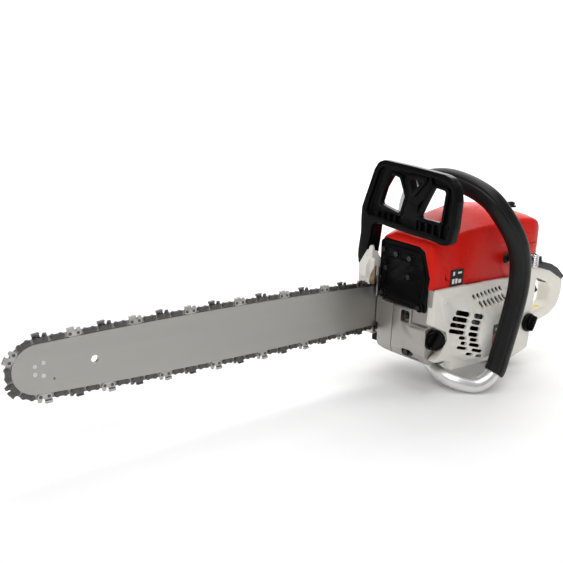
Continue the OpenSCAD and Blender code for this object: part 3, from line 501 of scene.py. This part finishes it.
def cover_ring(x, left_z, crown_z, shrink, floor_z):
    """One cross-section of the top cover, drawn in by a distance."""
    left, right = side_y(x) + shrink, -5 - shrink
    crown_y = -38
    left_z, crown_z = left_z - shrink, crown_z - shrink
    right_z = crown_z - 7
    outline = [(left, floor_z), (left, left_z - 5.5), (left + 1.2, left_z - 1.8), (left + 4, left_z + 0.3),
               (left + 15, left_z + 2 + 0.16 * (crown_z - left_z)), (crown_y - 24, crown_z - 2.5),
               (crown_y - 8, crown_z - 0.3), (crown_y + 8, crown_z - 0.3), (right - 14, right_z + 2),
               (right - 6, right_z - 1),
               (right - 1.5, right_z - 6), (right, right_z - 14), (right, floor_z)]
    return [at(x, y, z) for y, z in outline]


# Stations of the top cover: x, height of its left edge, height of its crown.
COVER_STATIONS = [(-78, 103, 110), (-50, 108.5, 120), (-20, 113, 131), (10, 116.5, 138), (40, 119, 142),
                  (75, 121.5, 140), (105, 122.5, 135.5), (128, 121.5, 131)]


def cover_skin(name, shrink, first, last, floor_z):
    rings = [cover_ring(x, a, c, s + shrink, floor_z) for x, a, c, s in first]
    rings += [cover_ring(x, a, c, shrink, floor_z) for x, a, c in COVER_STATIONS]
    rings += [cover_ring(x, a, c, s + shrink, floor_z) for x, a, c, s in last]
    return loft(name, rings)


def make_top_cover():
    nose = [(-88.5, 101, 106, 5), (-87.2, 101.5, 107, 2.2), (-84.5, 102, 108, 0.6)]
    tail = [(139, 119, 127.5, 0.8), (147, 116, 123, 3.2), (152, 110, 117, 7.5)]
    cover = cover_skin("top_cover_shell", 0, nose, tail, 41.6)
    inner = cover_skin("cover_room", 2.6, [(-86, 102, 107, 3)], [(138, 119, 129, 0), (144, 112, 121, 6)], 30)
    window = prism("cover_front", inset(PANEL, -0.8), "x", -110, -74, 4)
    sill = block("cover_sill", (92, -120, 20), (170, 20, 69.2))
    rear_wall = block("cover_rear", (-80, -12, 20), (-14, 10, 90))
    dimple = loft("cover_dimple", [
        [at(-66, -105, 90), at(-62, -105, 50), at(-44, -105, 46)],
        [at(-65, -98.2, 86), at(-61, -92, 52), at(-50, -96.5, 50)]])
    seam = block("cover_seam", (104, -110, 85.6), (160, 20, 86.4))
    seam_core = block("cover_seam_core", (90, -96.2, 80), (146, -7, 90))
    cut(seam, seam_core)
    cut(cover, inner, window, sill, rear_wall, dimple)
    soften(cover, 0.9, 2, 38)
    cut(cover, seam)
    smooth(cover, 38)
    return piece(cover, "root", "red_plastic", ["top_cover"])


STARTER = [(-84, 41), (86, 41), (89, 36), (89, -36), (74, -62), (54, -74), (-40, -72), (-44, -60),
           (-56, -56), (-80, -55), (-66, -46), (-61, -36), (-56, -18), (-86, -4)]
BULGE_BASE = [(-58, -30), (-55, -8), (-51, 7), (-42, 22), (-25, 31), (-7, 35), (34, 37), (80, 34),
              (84, 20), (84, -40), (70, -60), (50, -68), (-30, -62), (-50, -50)]
BULGE_TOP = [(-8, -46), (-3, -34), (3, -22), (9, -14), (17, -8), (29, -2), (44, 2), (64, 3),
             (74, -4), (75, -36), (64, -52), (50, -58), (8, -57), (-4, -53)]
# Rows of cooling slots over the fan: the ends of the two slots of each row along X, and half their width.
VENT_ROWS = [(-42, -16, -12, 7, 3.5), (-48, -20, -16.5, 1, 3.3), (-51.5, -23, -19.5, -2, 3.1),
             (-53, -25, -21.5, -4, 3.0), (-36, -23, -19.5, -5, 2.5), (-33, -23, -20.5, -3, 2.5),
             (-38, -21, -16, 3, 2.3), (-23, -11, -8, 5, 2.2)]
VENT_SLOPE = -13
# The two short rows above them: how many slots, the place of the first one, and half its length.
UPPER_VENTS = [(8, -6.5, 23.8, 4.6), (7, 4, 13, 6)]
UPPER_VENT_STEP = (8.2, 0.75)
UPPER_VENT_SLOPE = 126
# The starter cover along Y: its joint with the case, its flat face, and the face of the bulge.
JOINT_Y, FACE_Y, BULGE_Y = -92.4, -104, -120


def slot_tool(name, x, z, half_l, half_w, lean):
    """A round-ended slot through the starter cover, leaning from the level by an angle."""
    a = math.radians(lean)
    points = []
    for side in (1, -1):
        for k in range(7):
            turn = math.radians(-90 + 30 * k) + (0 if side > 0 else math.pi)
            u, v = side * (half_l - half_w) + half_w * math.cos(turn), half_w * math.sin(turn)
            points.append((x + u * math.cos(a) - v * math.sin(a), z + u * math.sin(a) + v * math.cos(a)))
    return prism(name, points, "y", -130, -85)


def vent_tools():
    tools = []
    step_x, step_z = UPPER_VENT_STEP
    for count, x, z, half_l in UPPER_VENTS:
        for k in range(count):
            tools.append(slot_tool("vent", x + k * step_x, z + k * step_z, half_l + 0.3, 2.4, UPPER_VENT_SLOPE))
    for k, (x0, x1, x2, x3, half_w) in enumerate(VENT_ROWS):
        middle_z = 3.5 - 8.6 * min(k, 3) - 6.9 * max(0, k - 3)
        for a, b in ((x0, x1), (x2, x3)):
            x = (a + b) / 2
            z = middle_z + (x + 23) * math.tan(math.radians(VENT_SLOPE))
            tools.append(slot_tool("vent", x, z, (b - a) / 2, half_w, VENT_SLOPE))
    return tools


def make_starter_cover():
    def bulge(name, depth, y0, y1):
        rings = [[at(a, y0, b) for a, b in rounded(inset(BULGE_BASE, depth), 8, 3)],
                 [at(a, y1 + 2.5, b) for a, b in rounded(inset(BULGE_TOP, depth - 3), 8, 3)],
                 [at(a, y1, b) for a, b in rounded(inset(BULGE_TOP, depth), 8, 3)]]
        return loft(name, rings)

    cover = prism("starter_cover_shell", STARTER, "y", FACE_Y, JOINT_Y, 4)
    soften(cover, 3.0, 4, 60)
    add(cover, bulge("bulge", 0, -101, BULGE_Y))
    cut(cover, prism("cover_room", inset(STARTER, 3), "y", -101.2, -85),
        bulge("bulge_room", 2.6, -98, -117.4),
        block("thin_wall", (-16, -102.5, 5), (66, -85, 35)))
    add(cover, turned("reel_post", [(5, 0), (5, 8)], (0, -113, 0), (0, 1, 0)))
    cut(cover, *vent_tools())
    add(cover, turned("screw_boss", [(4.6, 0), (4.4, 1.2), (3.6, 1.7)], (-68, -103.6, 26), (0, -1, 0), 24))
    cut(cover, turned("screw_well", [(2.6, 0), (2.6, 6)], (-68, -104.6, 26), (0, -1, 0), 20))
    soften(cover, 0.35, 2, 50)
    head = turned("screw_head", [(2.3, 0), (2.3, 0.6), (1.9, 0.9)], (-68, -102.4, 26), (0, -1, 0), 20)
    piece(head, "root", "dark_steel")
    return piece(cover, "root", "ivory_plastic", ["starter_cover"])


# The hand guard seen from the nose: the rim of its paddle, then the leg to its pin.
PADDLE_RIM = [(3, 118), (-30, 113), (-65, 109), (-100, 106), (-116, 102.5), (-128, 105), (-132, 125),
              (-133.5, 158), (-130, 174), (-120, 184), (-110, 187.5), (-60, 194), (-12, 199), (-2, 196),
              (5, 186), (12, 166), (19, 148)]
GUARD = [(10, 60), (10, 76), (5, 96)] + PADDLE_RIM + [(24, 134), (24, 118), (23, 100), (26, 76), (26, 60)]
PADDLE = PADDLE_RIM + [(23, 132), (19, 119)]
WINDOWS = [[(-14, 164), (-25, 181), (-38, 178), (-49, 155), (-42, 133), (-7, 142)],
           [(-58, 180), (-79, 178), (-63.4, 161)],
           [(-93.5, 171), (-113, 167.5), (-109, 129), (-73.5, 131.5), (-86, 157)]]
POST = [(-47, 110), (-47, 132), (-53, 154), (-46, 176), (-50, 186), (-66, 190), (-86, 186), (-92, 174),
        (-84, 160), (-71, 146), (-71, 108)]
RIBS = [-3, -14, -24.5, -35, -77, -87.5, -98, -109, -120]
GUARD_PIN = (-88, 62)


def make_hand_guard():
    guard = prism("guard_frame", GUARD, "x", -98.5, -86, 12)
    cut(guard, prism("front_room", inset(PADDLE, 8), "x", -99, -91.5, 9),
        prism("back_room", inset(PADDLE, 5), "x", -88.8, -80, 9))
    soften(guard, 2.6, 4, 45)
    frames = [prism("window_frame", inset(w, -3.6), "x", -95.5, -87.5, 5) for w in WINDOWS]
    post = prism("post", POST, "x", -95, -88, 6)
    ring = prism("triangle_rim", inset(WINDOWS[1], -5), "x", -98, -88, 6)
    ribs = [block("rib", (-96.4, y - 1.4, 119 + 0.13 * y), (-88.5, y + 1.4, 131 + 0.04 * y)) for y in RIBS]
    add(guard, *frames, post, ring)
    add(guard, *ribs)
    pin_x, pin_z = GUARD_PIN
    add(guard, turned("boss", [(9.5, 0), (9.5, 15)], (pin_x, 10, pin_z), (0, 1, 0)),
        prism("leg_flange", [(8, 62), (4, 92), (2, 112), (8, 116), (12, 92), (14, 62)], "x", -93, -78, 3))
    cut(guard, *[prism("window", w, "x", -110, -80, 4) for w in WINDOWS],
        turned("pin_hole", [(4.1, 0), (4.1, 60)], (pin_x, -10, pin_z), (0, 1, 0)))
    soften(guard, 0.9, 3, 35)
    return piece(guard, "hand_guard", "black_plastic", ["hand_guard"])


# Screws of the muffler guard, as (y, z).
SCREWS = [(-14.6, 81.6), (-37.3, 78.4), (-60.5, 76.2), (-20.8, 57.4), (-60.8, 51.8), (-16.2, 22.5),
          (-80.6, 14.8)]


def make_muffler_guard():
    panel = prism("muffler_guard_panel", PANEL, "x", -85.4, -81, 5)
    soften(panel, 1.6, 3, 50)
    field = prism("field", inset(PANEL, 7), "x", -87.2, -84, 6)
    soften(field, 1.0, 3, 50)
    line = [(-13, 70.8), (-38, 72.4), (-52, 71.4), (-64, 68.2), (-82, 66)]
    ridge = swept("ridge", curve_points([(-87, y, z) for y, z in line], 5), 1.3, 10)
    boss = [(6.2, 0), (6.0, 2.2), (5.2, 3.2)]
    bosses = [turned("boss", boss, (-86, y, z), (-1, 0, 0), 24) for y, z in SCREWS]
    add(panel, field, ridge, *bosses)
    cut(panel, *[turned("well", [(4.2, 0), (4.2, 9)], (-86.4, y, z), (-1, 0, 0), 24) for y, z in SCREWS])
    soften(panel, 0.5, 2, 40)
    return piece(panel, "root", "black_plastic", ["muffler_guard"])

# ---- crankcase -----------------------------------------------------------------------------

CASE = [(-85, -49), (-82, -58), (-75, -62), (62, -62), (78, -52), (84, -38), (84, 12), (40, 24), (34, 30),
        (-34, 30), (-44, 14), (-79, 14), (-85, 8)]
# Along Y: the joint of the case halves, and the middle of the cylinder.
SPLIT = -34
CYLINDER_Y = -56
# The oil cap, and the way it faces.
CAP = (-70, -95, -27)
CAP_OUT = Vector((math.cos(math.radians(232)), math.sin(math.radians(232)), 0))


def crank_room():
    """The room of the crank, its bearings and the foot of the cylinder, to cut from a half of the case."""
    middle = (0, CYLINDER_Y, 0)
    return [turned("crank_room", [(14, -60), (14, 60)], middle, (0, 1, 0), 40),
            turned("crank_room", [(17.5, -30), (17.5, 30)], middle, (0, 1, 0), 40),
            turned("crank_room", [(29, -18.5), (29, 18.5)], middle, (0, 1, 0), 48),
            turned("crank_room", [(25.2, 0), (25.2, 50)], middle, (0, 0, 1), 48)]


def make_crankcase():
    corner = [(2, -36), (-9, -55), (-32, -62.5), (-32, -80), (20, -80), (20, -36)]
    right = prism("crankcase_right_shell", CASE, "y", SPLIT + 0.15, -8, 4)
    pad = [(-84.4, -23), (-84.4, 12), (-80.6, 22), (-40, 19), (-40, -19), (-80, -23)]
    add(right, prism("bar_pad", pad, "y", -12, -3.2))
    cut(right, prism("corner", corner, "x", -100, 90))
    soften(right, 2.6, 4, 45)
    add(right, prism("bar_seat", [(-80.6, -22), (-80.6, 22), (-40, 19), (-40, -19)], "y", -5, -2.1),
        block("guard_stay", (-44, -17, 24), (-16, -9, 83.4)),
        block("guard_foot", (-42, -9, 76), (-18, 20, 83.4)))
    soften(right, 0.6, 2, 50)
    cut(right, *crank_room())
    piece(right, "root", "die_cast", ["crankcase_right"])

    left = prism("crankcase_left_shell", CASE, "y", -92, SPLIT - 0.15, 4)
    cut(left, prism("shelf", [(-92, -14.5), (-80.5, -8.5), (-80.5, 20), (-92, 20)], "y", -110, -65.5))
    soften(left, 2.6, 4, 45)
    foot_x, foot_y, foot_z = HANDLE[-1]
    add(left, turned("cap_neck", [(17, -34), (17, -1.5), (15.5, 0)], CAP, CAP_OUT),
        block("handle_lug", (foot_x - 14, foot_y - 12, foot_z - 11), (foot_x, foot_y + 12, -60)),
        prism("cover_flange", [(-99, 1), (-99, 41), (-91.2, 41), (-91.2, -4)], "x", -85, -81.2, 1),
        prism("lower_rail", [(-66, -17), (-66, -14), (-92, -12), (-92, -17)], "x", -86, -80, 1))
    pockets = [prism("pocket", [(-48.5, 5.5), (-48.5, -11), (-63, -10), (-63, 5.5)], "x", -90, -77.5, 3),
               prism("pocket", [(-54, -47), (-54, -56.5), (-90, -57), (-68, -46.5)], "x", -90, -80.5, 2.5)]
    cut(left, *pockets, turned("handle_seat", [(10, 0), (10, 30)], (foot_x - 20, foot_y, foot_z), (1, 0, 0)),
        turned("cap_seat", [(11.2, -14), (11.2, 4)], CAP, CAP_OUT))
    soften(left, 0.8, 2, 45)
    cut(left, *crank_room())
    piece(left, "root", "die_cast", ["crankcase_left"])
    # Thin dark plates laid on the floors of the two pockets: painted shade, so that the pockets read black.
    low = prism("low_pocket_painted_shade", [(-53.3, -48.7), (-53.9, -56.6), (-67.8, -55.6), (-76, -48)],
                "x", -81.2, -80.4, 1)
    high = prism("high_pocket_painted_shade", [(-49.3, 4.6), (-49.3, -2), (-62.4, -1), (-62.4, 4.6)],
                 "x", -78.2, -77.4, 1)
    for floor in (low, high):
        piece(floor, "root", "dark_steel")
    gasket = prism("case_gasket", inset(CASE, 0.45), "y", SPLIT - 0.2, SPLIT + 0.2, 4)
    cut(gasket, *crank_room())
    return piece(gasket, "root", "dark_steel")


def make_cap(name, place, direction, radius, body, node):
    """A screw cap with a fluted rim and a grip bar with rounded shoulders."""
    def flutes(turn, height):
        return 1 - (0.035 * max(0, math.cos(18 * turn)) if height < 6 else 0)

    cap = turned(name, [(radius - 4, -6), (radius - 4, 0.5), (radius - 0.6, 0.5), (radius, 1.2), (radius, 5),
                        (radius - 1, 6.4), (radius - 2.4, 7.2), (radius - 3.4, 6.6), (radius - 5, 6.2),
                        (0.4, 6.0)], place, direction, 108, flutes)
    axis = Vector(direction).normalized()
    lean = math.radians(26)
    flat = axis.cross(Vector((0, 0, 1))).normalized()
    along = flat * math.sin(lean) * -1 + Vector((0, 0, 1)) * math.cos(lean)
    across = axis.cross(along)
    rings = []
    for height, half_l, half_w in ((5.5, radius - 1.6, 4.6), (8, radius - 1.8, 3.2), (12, radius - 2.2, 2.8),
                                   (13.6, radius - 3.2, 2.2), (14.1, radius - 5, 1.4)):
        ring = []
        for k in range(24):
            turn = math.tau * k / 24
            u = half_l * (1 if math.cos(turn) > 0 else -1) * abs(math.cos(turn)) ** 0.5
            v = half_w * (1 if math.sin(turn) > 0 else -1) * abs(math.sin(turn)) ** 0.8
            ring.append(at(*place) + (axis * height + along * u + across * v) * MM)
        rings.append(ring)
    add(cap, loft("bar", rings))
    smooth(cap, 42)
    return piece(cap, body, "black_plastic", [node])


# ---- handles -------------------------------------------------------------------------------

HANDLE = [(-30, 8, 84), (-30, 8, 118), (-29, 3, 150), (-26, -16, 170), (-20, -50, 177), (-17, -85, 171),
          (-12, -117, 156), (-1, -135, 132), (18, -142, 104), (31, -143, 75), (35, -142, 41), (30, -140, 2),
          (20, -137, -46), (10, -135, -76), (-12, -127, -92), (-34, -108, -88), (-42, -86, -81),
          (-36, -64, -74.5), (-20, -49, -73), (-5, -48, -72.6), (7, -48, -72.6)]
SLEEVE_FIRST, SLEEVE_LAST = 3, 13
HANDLE_STEPS = 10


def make_front_handle():
    path = curve_points(HANDLE, HANDLE_STEPS)

    def tube(share, turn):
        near = math.exp(-((share - 0.83) / 0.035) ** 2)
        return 9.5 - near * (1.1 + 0.5 * math.sin(share * 900)) * max(0, math.cos(turn - 0.6))

    piece(smooth(swept("handle_tube", path, tube, 36)), "root", "tube_metal", ["front_handle_tube"])

    def sleeve(share, turn):
        end = min(1, min(share, 1 - share) / 0.006)
        groove = 0
        for mark in (0.35, 0.8, 1.25, -0.15):
            groove += 1.0 * math.exp(-((turn - math.pi * mark) / 0.075) ** 2)
        return 13.5 - groove - 0.9 * (1 - end) ** 2

    middle = path[SLEEVE_FIRST * HANDLE_STEPS:SLEEVE_LAST * HANDLE_STEPS + 1]
    fine = []
    for i in range(len(middle) - 1):
        fine += [middle[i], middle[i].lerp(middle[i + 1], 0.5)]
    piece(smooth(swept("handle_sleeve_skin", fine + [middle[-1]], sleeve, 96), 60), "root", "rubber",
          ["handle_sleeve"])


GRIP = [(120, -76), (150, -76), (172, -64), (215, -57), (256, -48), (276, -36), (285, -14), (285, 8),
        (276, 15), (240, 32), (190, 43), (120, 44)]
GRIP_WINDOW = [(162, 18), (170, 22), (212, 18), (240, 8), (250, 0), (248, -24), (238, -32), (170, -38),
               (162, -34)]
TANK = [(94, -92), (104, -102), (136, -102), (154, -86), (158, -40), (158, 45), (102, 45), (102, 28),
        (94, 28)]
GRIP_COVER = [(186, 41.2), (240, 27.2), (278, 9.2), (286, 13), (262, 30), (243, 38), (214, 45), (188, 47)]


def make_rear_handle():
    grip = prism("rear_grip", GRIP, "y", -68, -42, 10)
    cut(grip, prism("grip_hole", GRIP_WINDOW, "y", -80, -30, 9))
    soften(grip, 7.5, 6, 60)
    cut(grip, block("trigger_slot", (176, -62.5, 6), (264, -47.5, 60)),
        prism("cover_seat", [(184, 41), (240, 27), (280, 8), (300, 40), (184, 60)], "y", -80, -30),
        block("grip_root", (100, -80, -90), (148, -30, 60)))
    smooth(grip, 35)
    piece(grip, "root", "nylon", ["rear_handle"])
    tank = prism("fuel_tank", TANK, "y", -95, -16, 8)
    cut(tank, prism("slant", [(-100, -60), (-94, -78), (-72, -104), (-72, -120), (-110, -120)], "x", 80, 170))
    soften(tank, 6, 5, 40)
    cut(tank, block("tank_top", (106, -91, 6), (154, -20, 80)),
        turned("filler", [(10.5, 0), (10.5, 12)], (144, -100, -36), (0, 1, 0)),
        prism("seam", [(80, -55.3), (170, -55.3), (170, -54.7), (80, -54.7)], "z", -101.6, -90))
    smooth(tank, 35)
    piece(tank, "root", "nylon")
    for p in ((196, 26), (214, 27)):
        pin = turned("lever_pin", [(2, 0), (2, 16)], (p[0], -63, p[1]), (0, 1, 0), 20)
        piece(smooth(pin), "root", "bright_steel")
    cover = prism("grip_cover_shell", GRIP_COVER, "y", -68.4, -41.6, 5)
    soften(cover, 3, 4, 50)
    cut(cover, block("lockout_slot", (202, -61.5, 0), (262, -48.5, 60)))
    smooth(cover, 35)
    piece(cover, "root", "grey_plastic", ["grip_cover"])


def make_shade_sheet():
    """A thin black sheet behind the starter cover, that the cooling slots look onto: painted shade for the dark
    inside of the cover.
    """
    wall = prism("painted_shade_sheet", inset(STARTER, 4.5), "y", -92.3, -92.05, 3)
    cut(wall, turned("fan_hole", [(16, 0), (16, 10)], (0, -96, 0), (0, 1, 0), 48),
        turned("tank_neck_hole", [(19, -40), (19, 20)], CAP, CAP_OUT))
    piece(wall, "root", "black_plastic")


def make_labels():
    """Two plain stickers with simple marks, and a yellow one by the tank."""
    def on_side(name, x0, x1, z0, z1, lift, slot):
        rings = []
        for k in range(7):
            x = x0 + (x1 - x0) * k / 6
            y = side_y(x) - lift
            rings.append([at(x, y, z0), at(x, y, z1), at(x, y + 0.3, z1), at(x, y + 0.3, z0)])
        piece(loft(name, rings), "root", slot)

    on_side("label_black", -51, -23, 42, 64, 0.6, "label_black")
    for name, x0, x1, z0, z1 in (("mark_1", -46, -42, 56, 61), ("mark_2", -35, -27, 57.5, 60),
                                 ("mark_3", -47, -42, 45, 51.5), ("mark_4", -40, -35, 45, 51.5),
                                 ("mark_5", -33, -27, 45, 50)):
        on_side(name, x0, x1, z0, z1, 0.75, "label_white")

    def on_bulge(name, x0, x1, z0, z1, lift, slot):
        corners = [(x0, z0), (x1, z0), (x1, z1), (x0, z1)]
        piece(prism(name, corners, "y", BULGE_Y - lift, BULGE_Y + 0.3, 1), "root", slot)

    on_bulge("plate_black", 22, 62, -29, -15, 0.3, "grey_plastic")
    on_bulge("plate_red", 22, 62, -43, -29, 0.3, "label_red")
    for k in range(4):
        on_bulge(f"plate_mark_{k}", 27 + k * 8, 32 + k * 8, -24, -20, 0.45, "label_white")
    on_bulge("plate_mark_low", 27, 55, -36.5, -34, 0.45, "label_white")
    sticker = prism("label_grip", [(213, -34.6), (236, -32.6), (236, -31.9), (213, -33.9)], "y", -60, -50)
    piece(sticker, "root", "label_yellow")


CLUTCH = [(-74, 62), (-40, 60), (24, 54), (46, 30), (50, 0), (44, -34), (22, -50), (-66, -50), (-86, -42),
          (-90, -28), (-90, 42), (-76, 44)]
HOOK = [(-4, 87), (-0.5, 84), (1.5, 74), (8, 70.5), (9.2, 62), (9.2, 50), (13.5, 45), (13.5, 37), (9, 32.5),
        (-3, 32), (-4, 44), (-7, 50), (-10.4, 56), (-10.6, 67), (-6, 70), (-7, 82)]
# The brown patch beside the hook: painted shade with a warm reflection, standing in for the shaded inside of the
# clutch cover.
HOOK_SHADE_PATCH = [(-13, 60), (-9.5, 57), (-5, 51), (-2.5, 44), (-2, 36), (-8, 33), (-12.5, 34.5)]
FRONT_TAB = [(-112, 46), (-112, 60), (-98, 78), (-92, 78), (-84, 66), (-84, 40), (-108, 42)]


def make_clutch_cover():
    cover = prism("clutch_cover_shell", CLUTCH, "y", 2.4, 32.4, 7)
    soften(cover, 4, 5, 50)
    add(cover, turned("drum_dome", [(43, 0), (43, 1.5), (40, 3), (0.5, 3)], (0, 31, 0), (0, 1, 0), 64))
    add(cover, prism("front_tab", FRONT_TAB, "y", -5, 8.4, 3))
    grooves = [prism("groove", [(x, 50), (x + 4, 50), (x + 6, -46), (x + 2, -46)], "y", 31.6, 40, 1)
               for x in (-84, -70, -56)]
    cut(cover, prism("room", inset(CLUTCH, 3.2), "y", 0, 29.5, 5),
        prism("bar_way", [(-120, -24), (-120, 24), (-86, 40), (-86, -40)], "y", -10, 5.4),
        prism("chain_way", [(-120, 22), (-120, 43), (-80, 44), (-80, 22)], "y", -10, 5.4),
        prism("nut_recess", [(-86, -14), (-86, 14), (-40, 13), (-40, -13)], "y", 10, 50, 5), *grooves)
    floor = prism("nut_floor", [(-88, -16), (-88, 16), (-38, 15), (-38, -15)], "y", 6, 9.6, 5)
    cut(floor, *[turned("stud_hole", [(4.2, 0), (4.2, 20)], (x, 0, 0), (0, 1, 0), 24) for x in (-76, -50)])
    add(cover, floor)
    vents = []
    for k in range(12):
        a = math.radians(30 * k)
        spot = (27 * math.cos(a), 28, 27 * math.sin(a))
        vents.append(turned("vent", [(3.2, 0), (3.2, 12)], spot, (0, 1, 0), 20))
    cut(cover, *vents)
    soften(cover, 0.6, 2, 45)
    piece(cover, "root", "ivory_plastic", ["clutch_cover"])
    hook = prism("front_hook", HOOK, "x", -104, -99, 2)
    soften(hook, 1.2, 3, 45)
    # A bronze-coloured patch by the hook: painted shade of the cover's inside.
    piece(prism("hook_shade_patch", HOOK_SHADE_PATCH, "x", -102.5, -100, 2), "root", "painted_warm_shade")
    piece(hook, "root", "ivory_plastic")
    pin_x, pin_z = GUARD_PIN
    pin = turned("guard_pin", [(4, 0), (4, 24), (7, 24), (7, 26), (6, 26.6)], (pin_x, 1, pin_z), (0, 1, 0), 24)
    return piece(smooth(pin), "root", "bright_steel")


def make_nose_rivets():
    """The race between the bar's cheeks, and the four rivets that hold it."""
    heads = [(-542.4, 5.9), (-550.9, 3.5), (-551, -4.6), (-542.9, -7.3)]
    race = turned("nose_race", [(10.2, 0), (10.2, 1.4)], (-547.2, -0.7, 0), (0, 1, 0), 40)
    rivet = [(2.1, -0.3), (2.2, -0.2), (2.2, 4.4), (2.1, 4.5)]
    add(race, *[turned("rivet", rivet, (x, -2.1, z), (0, 1, 0), 24) for x, z in heads])
    return piece(smooth(race, 30), "root", "bright_steel", ["nose_rivets"])


def make_springs():
    """Coil springs between the handle frame and the engine."""
    for name, x, y, r, wire, z0, z1, turns in (("av_spring_top", 152, -91, 5.2, 1.0, 45.4, 66, 7),
                                               ("av_spring_low", 86.5, -80, 4, 0.9, -60, -45, 6)):
        path = [Vector((x + r * math.cos(math.tau * t / 14), y + r * math.sin(math.tau * t / 14),
                        z0 + wire + (z1 - z0 - 2 * wire) * t / (14 * turns))) for t in range(14 * turns + 1)]
        obj = smooth(swept(name, path, wire, 10, (0, 0, 1)))
        piece(obj, "root", "chrome_wire", ["av_springs"] if z1 > 0 else ())


def make_starter_grip():
    x, y, z = 84, -113, 66
    rings = []
    for share in (-1, -0.93, -0.8, -0.4, 0, 0.4, 0.8, 0.93, 1):
        size = (8.0 - 1.2 * (1 - share * share)) * math.sqrt(max(0.06, 1 - abs(share) ** 9))
        turns = [math.tau * k / 28 for k in range(28)]
        rings.append([at(x + 22 * share, y + size * math.cos(turn), z + size * math.sin(turn))
                      for turn in turns])
    grip = loft("starter_grip_shell", rings)
    add(grip, turned("neck", [(6.2, 0), (5.4, 8), (3.4, 11)], (x, y, z - 4), (0, 0, -1), 28))
    soften(grip, 0.6, 2, 40)
    piece(grip, "starter_grip", "black_plastic", ["starter_grip"])
    path = [Vector((x, y + 8 * (1 - k / 10) ** 2, 36 + 26 * k / 10)) for k in range(11)]
    rope = smooth(swept("starter_rope", path, 1.8, 12, (1, 0, 0)))
    rope.data.materials.append(FINISH["filter_felt"])
    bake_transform(rope)


def make_cover_details():
    buffer = turned("side_buffer", [(7.5, 0), (7.5, 2.5), (6, 5), (3, 6.2)], (68, -96, 69), (0, -1, 0), 28)
    piece(smooth(buffer), "root", "rubber")


def make_all():
    make_top_cover()
    make_starter_cover()
    make_clutch_cover()
    make_hand_guard()
    make_muffler_guard()
    make_crankcase()
    make_cap("oil_cap_shell", CAP, CAP_OUT, 14, "oil_cap", "oil_cap")
    make_cap("fuel_cap_shell", (144, -95, -36), (0, -1, 0), 14, "fuel_cap", "fuel_cap")
    make_front_handle()
    make_rear_handle()
    make_nose_rivets()
    make_springs()
    make_starter_grip()
    make_labels()
    make_cover_details()
    make_shade_sheet()


FINISH = make_materials()
make_camera()
make_studio()
dress_nodes()
make_all()
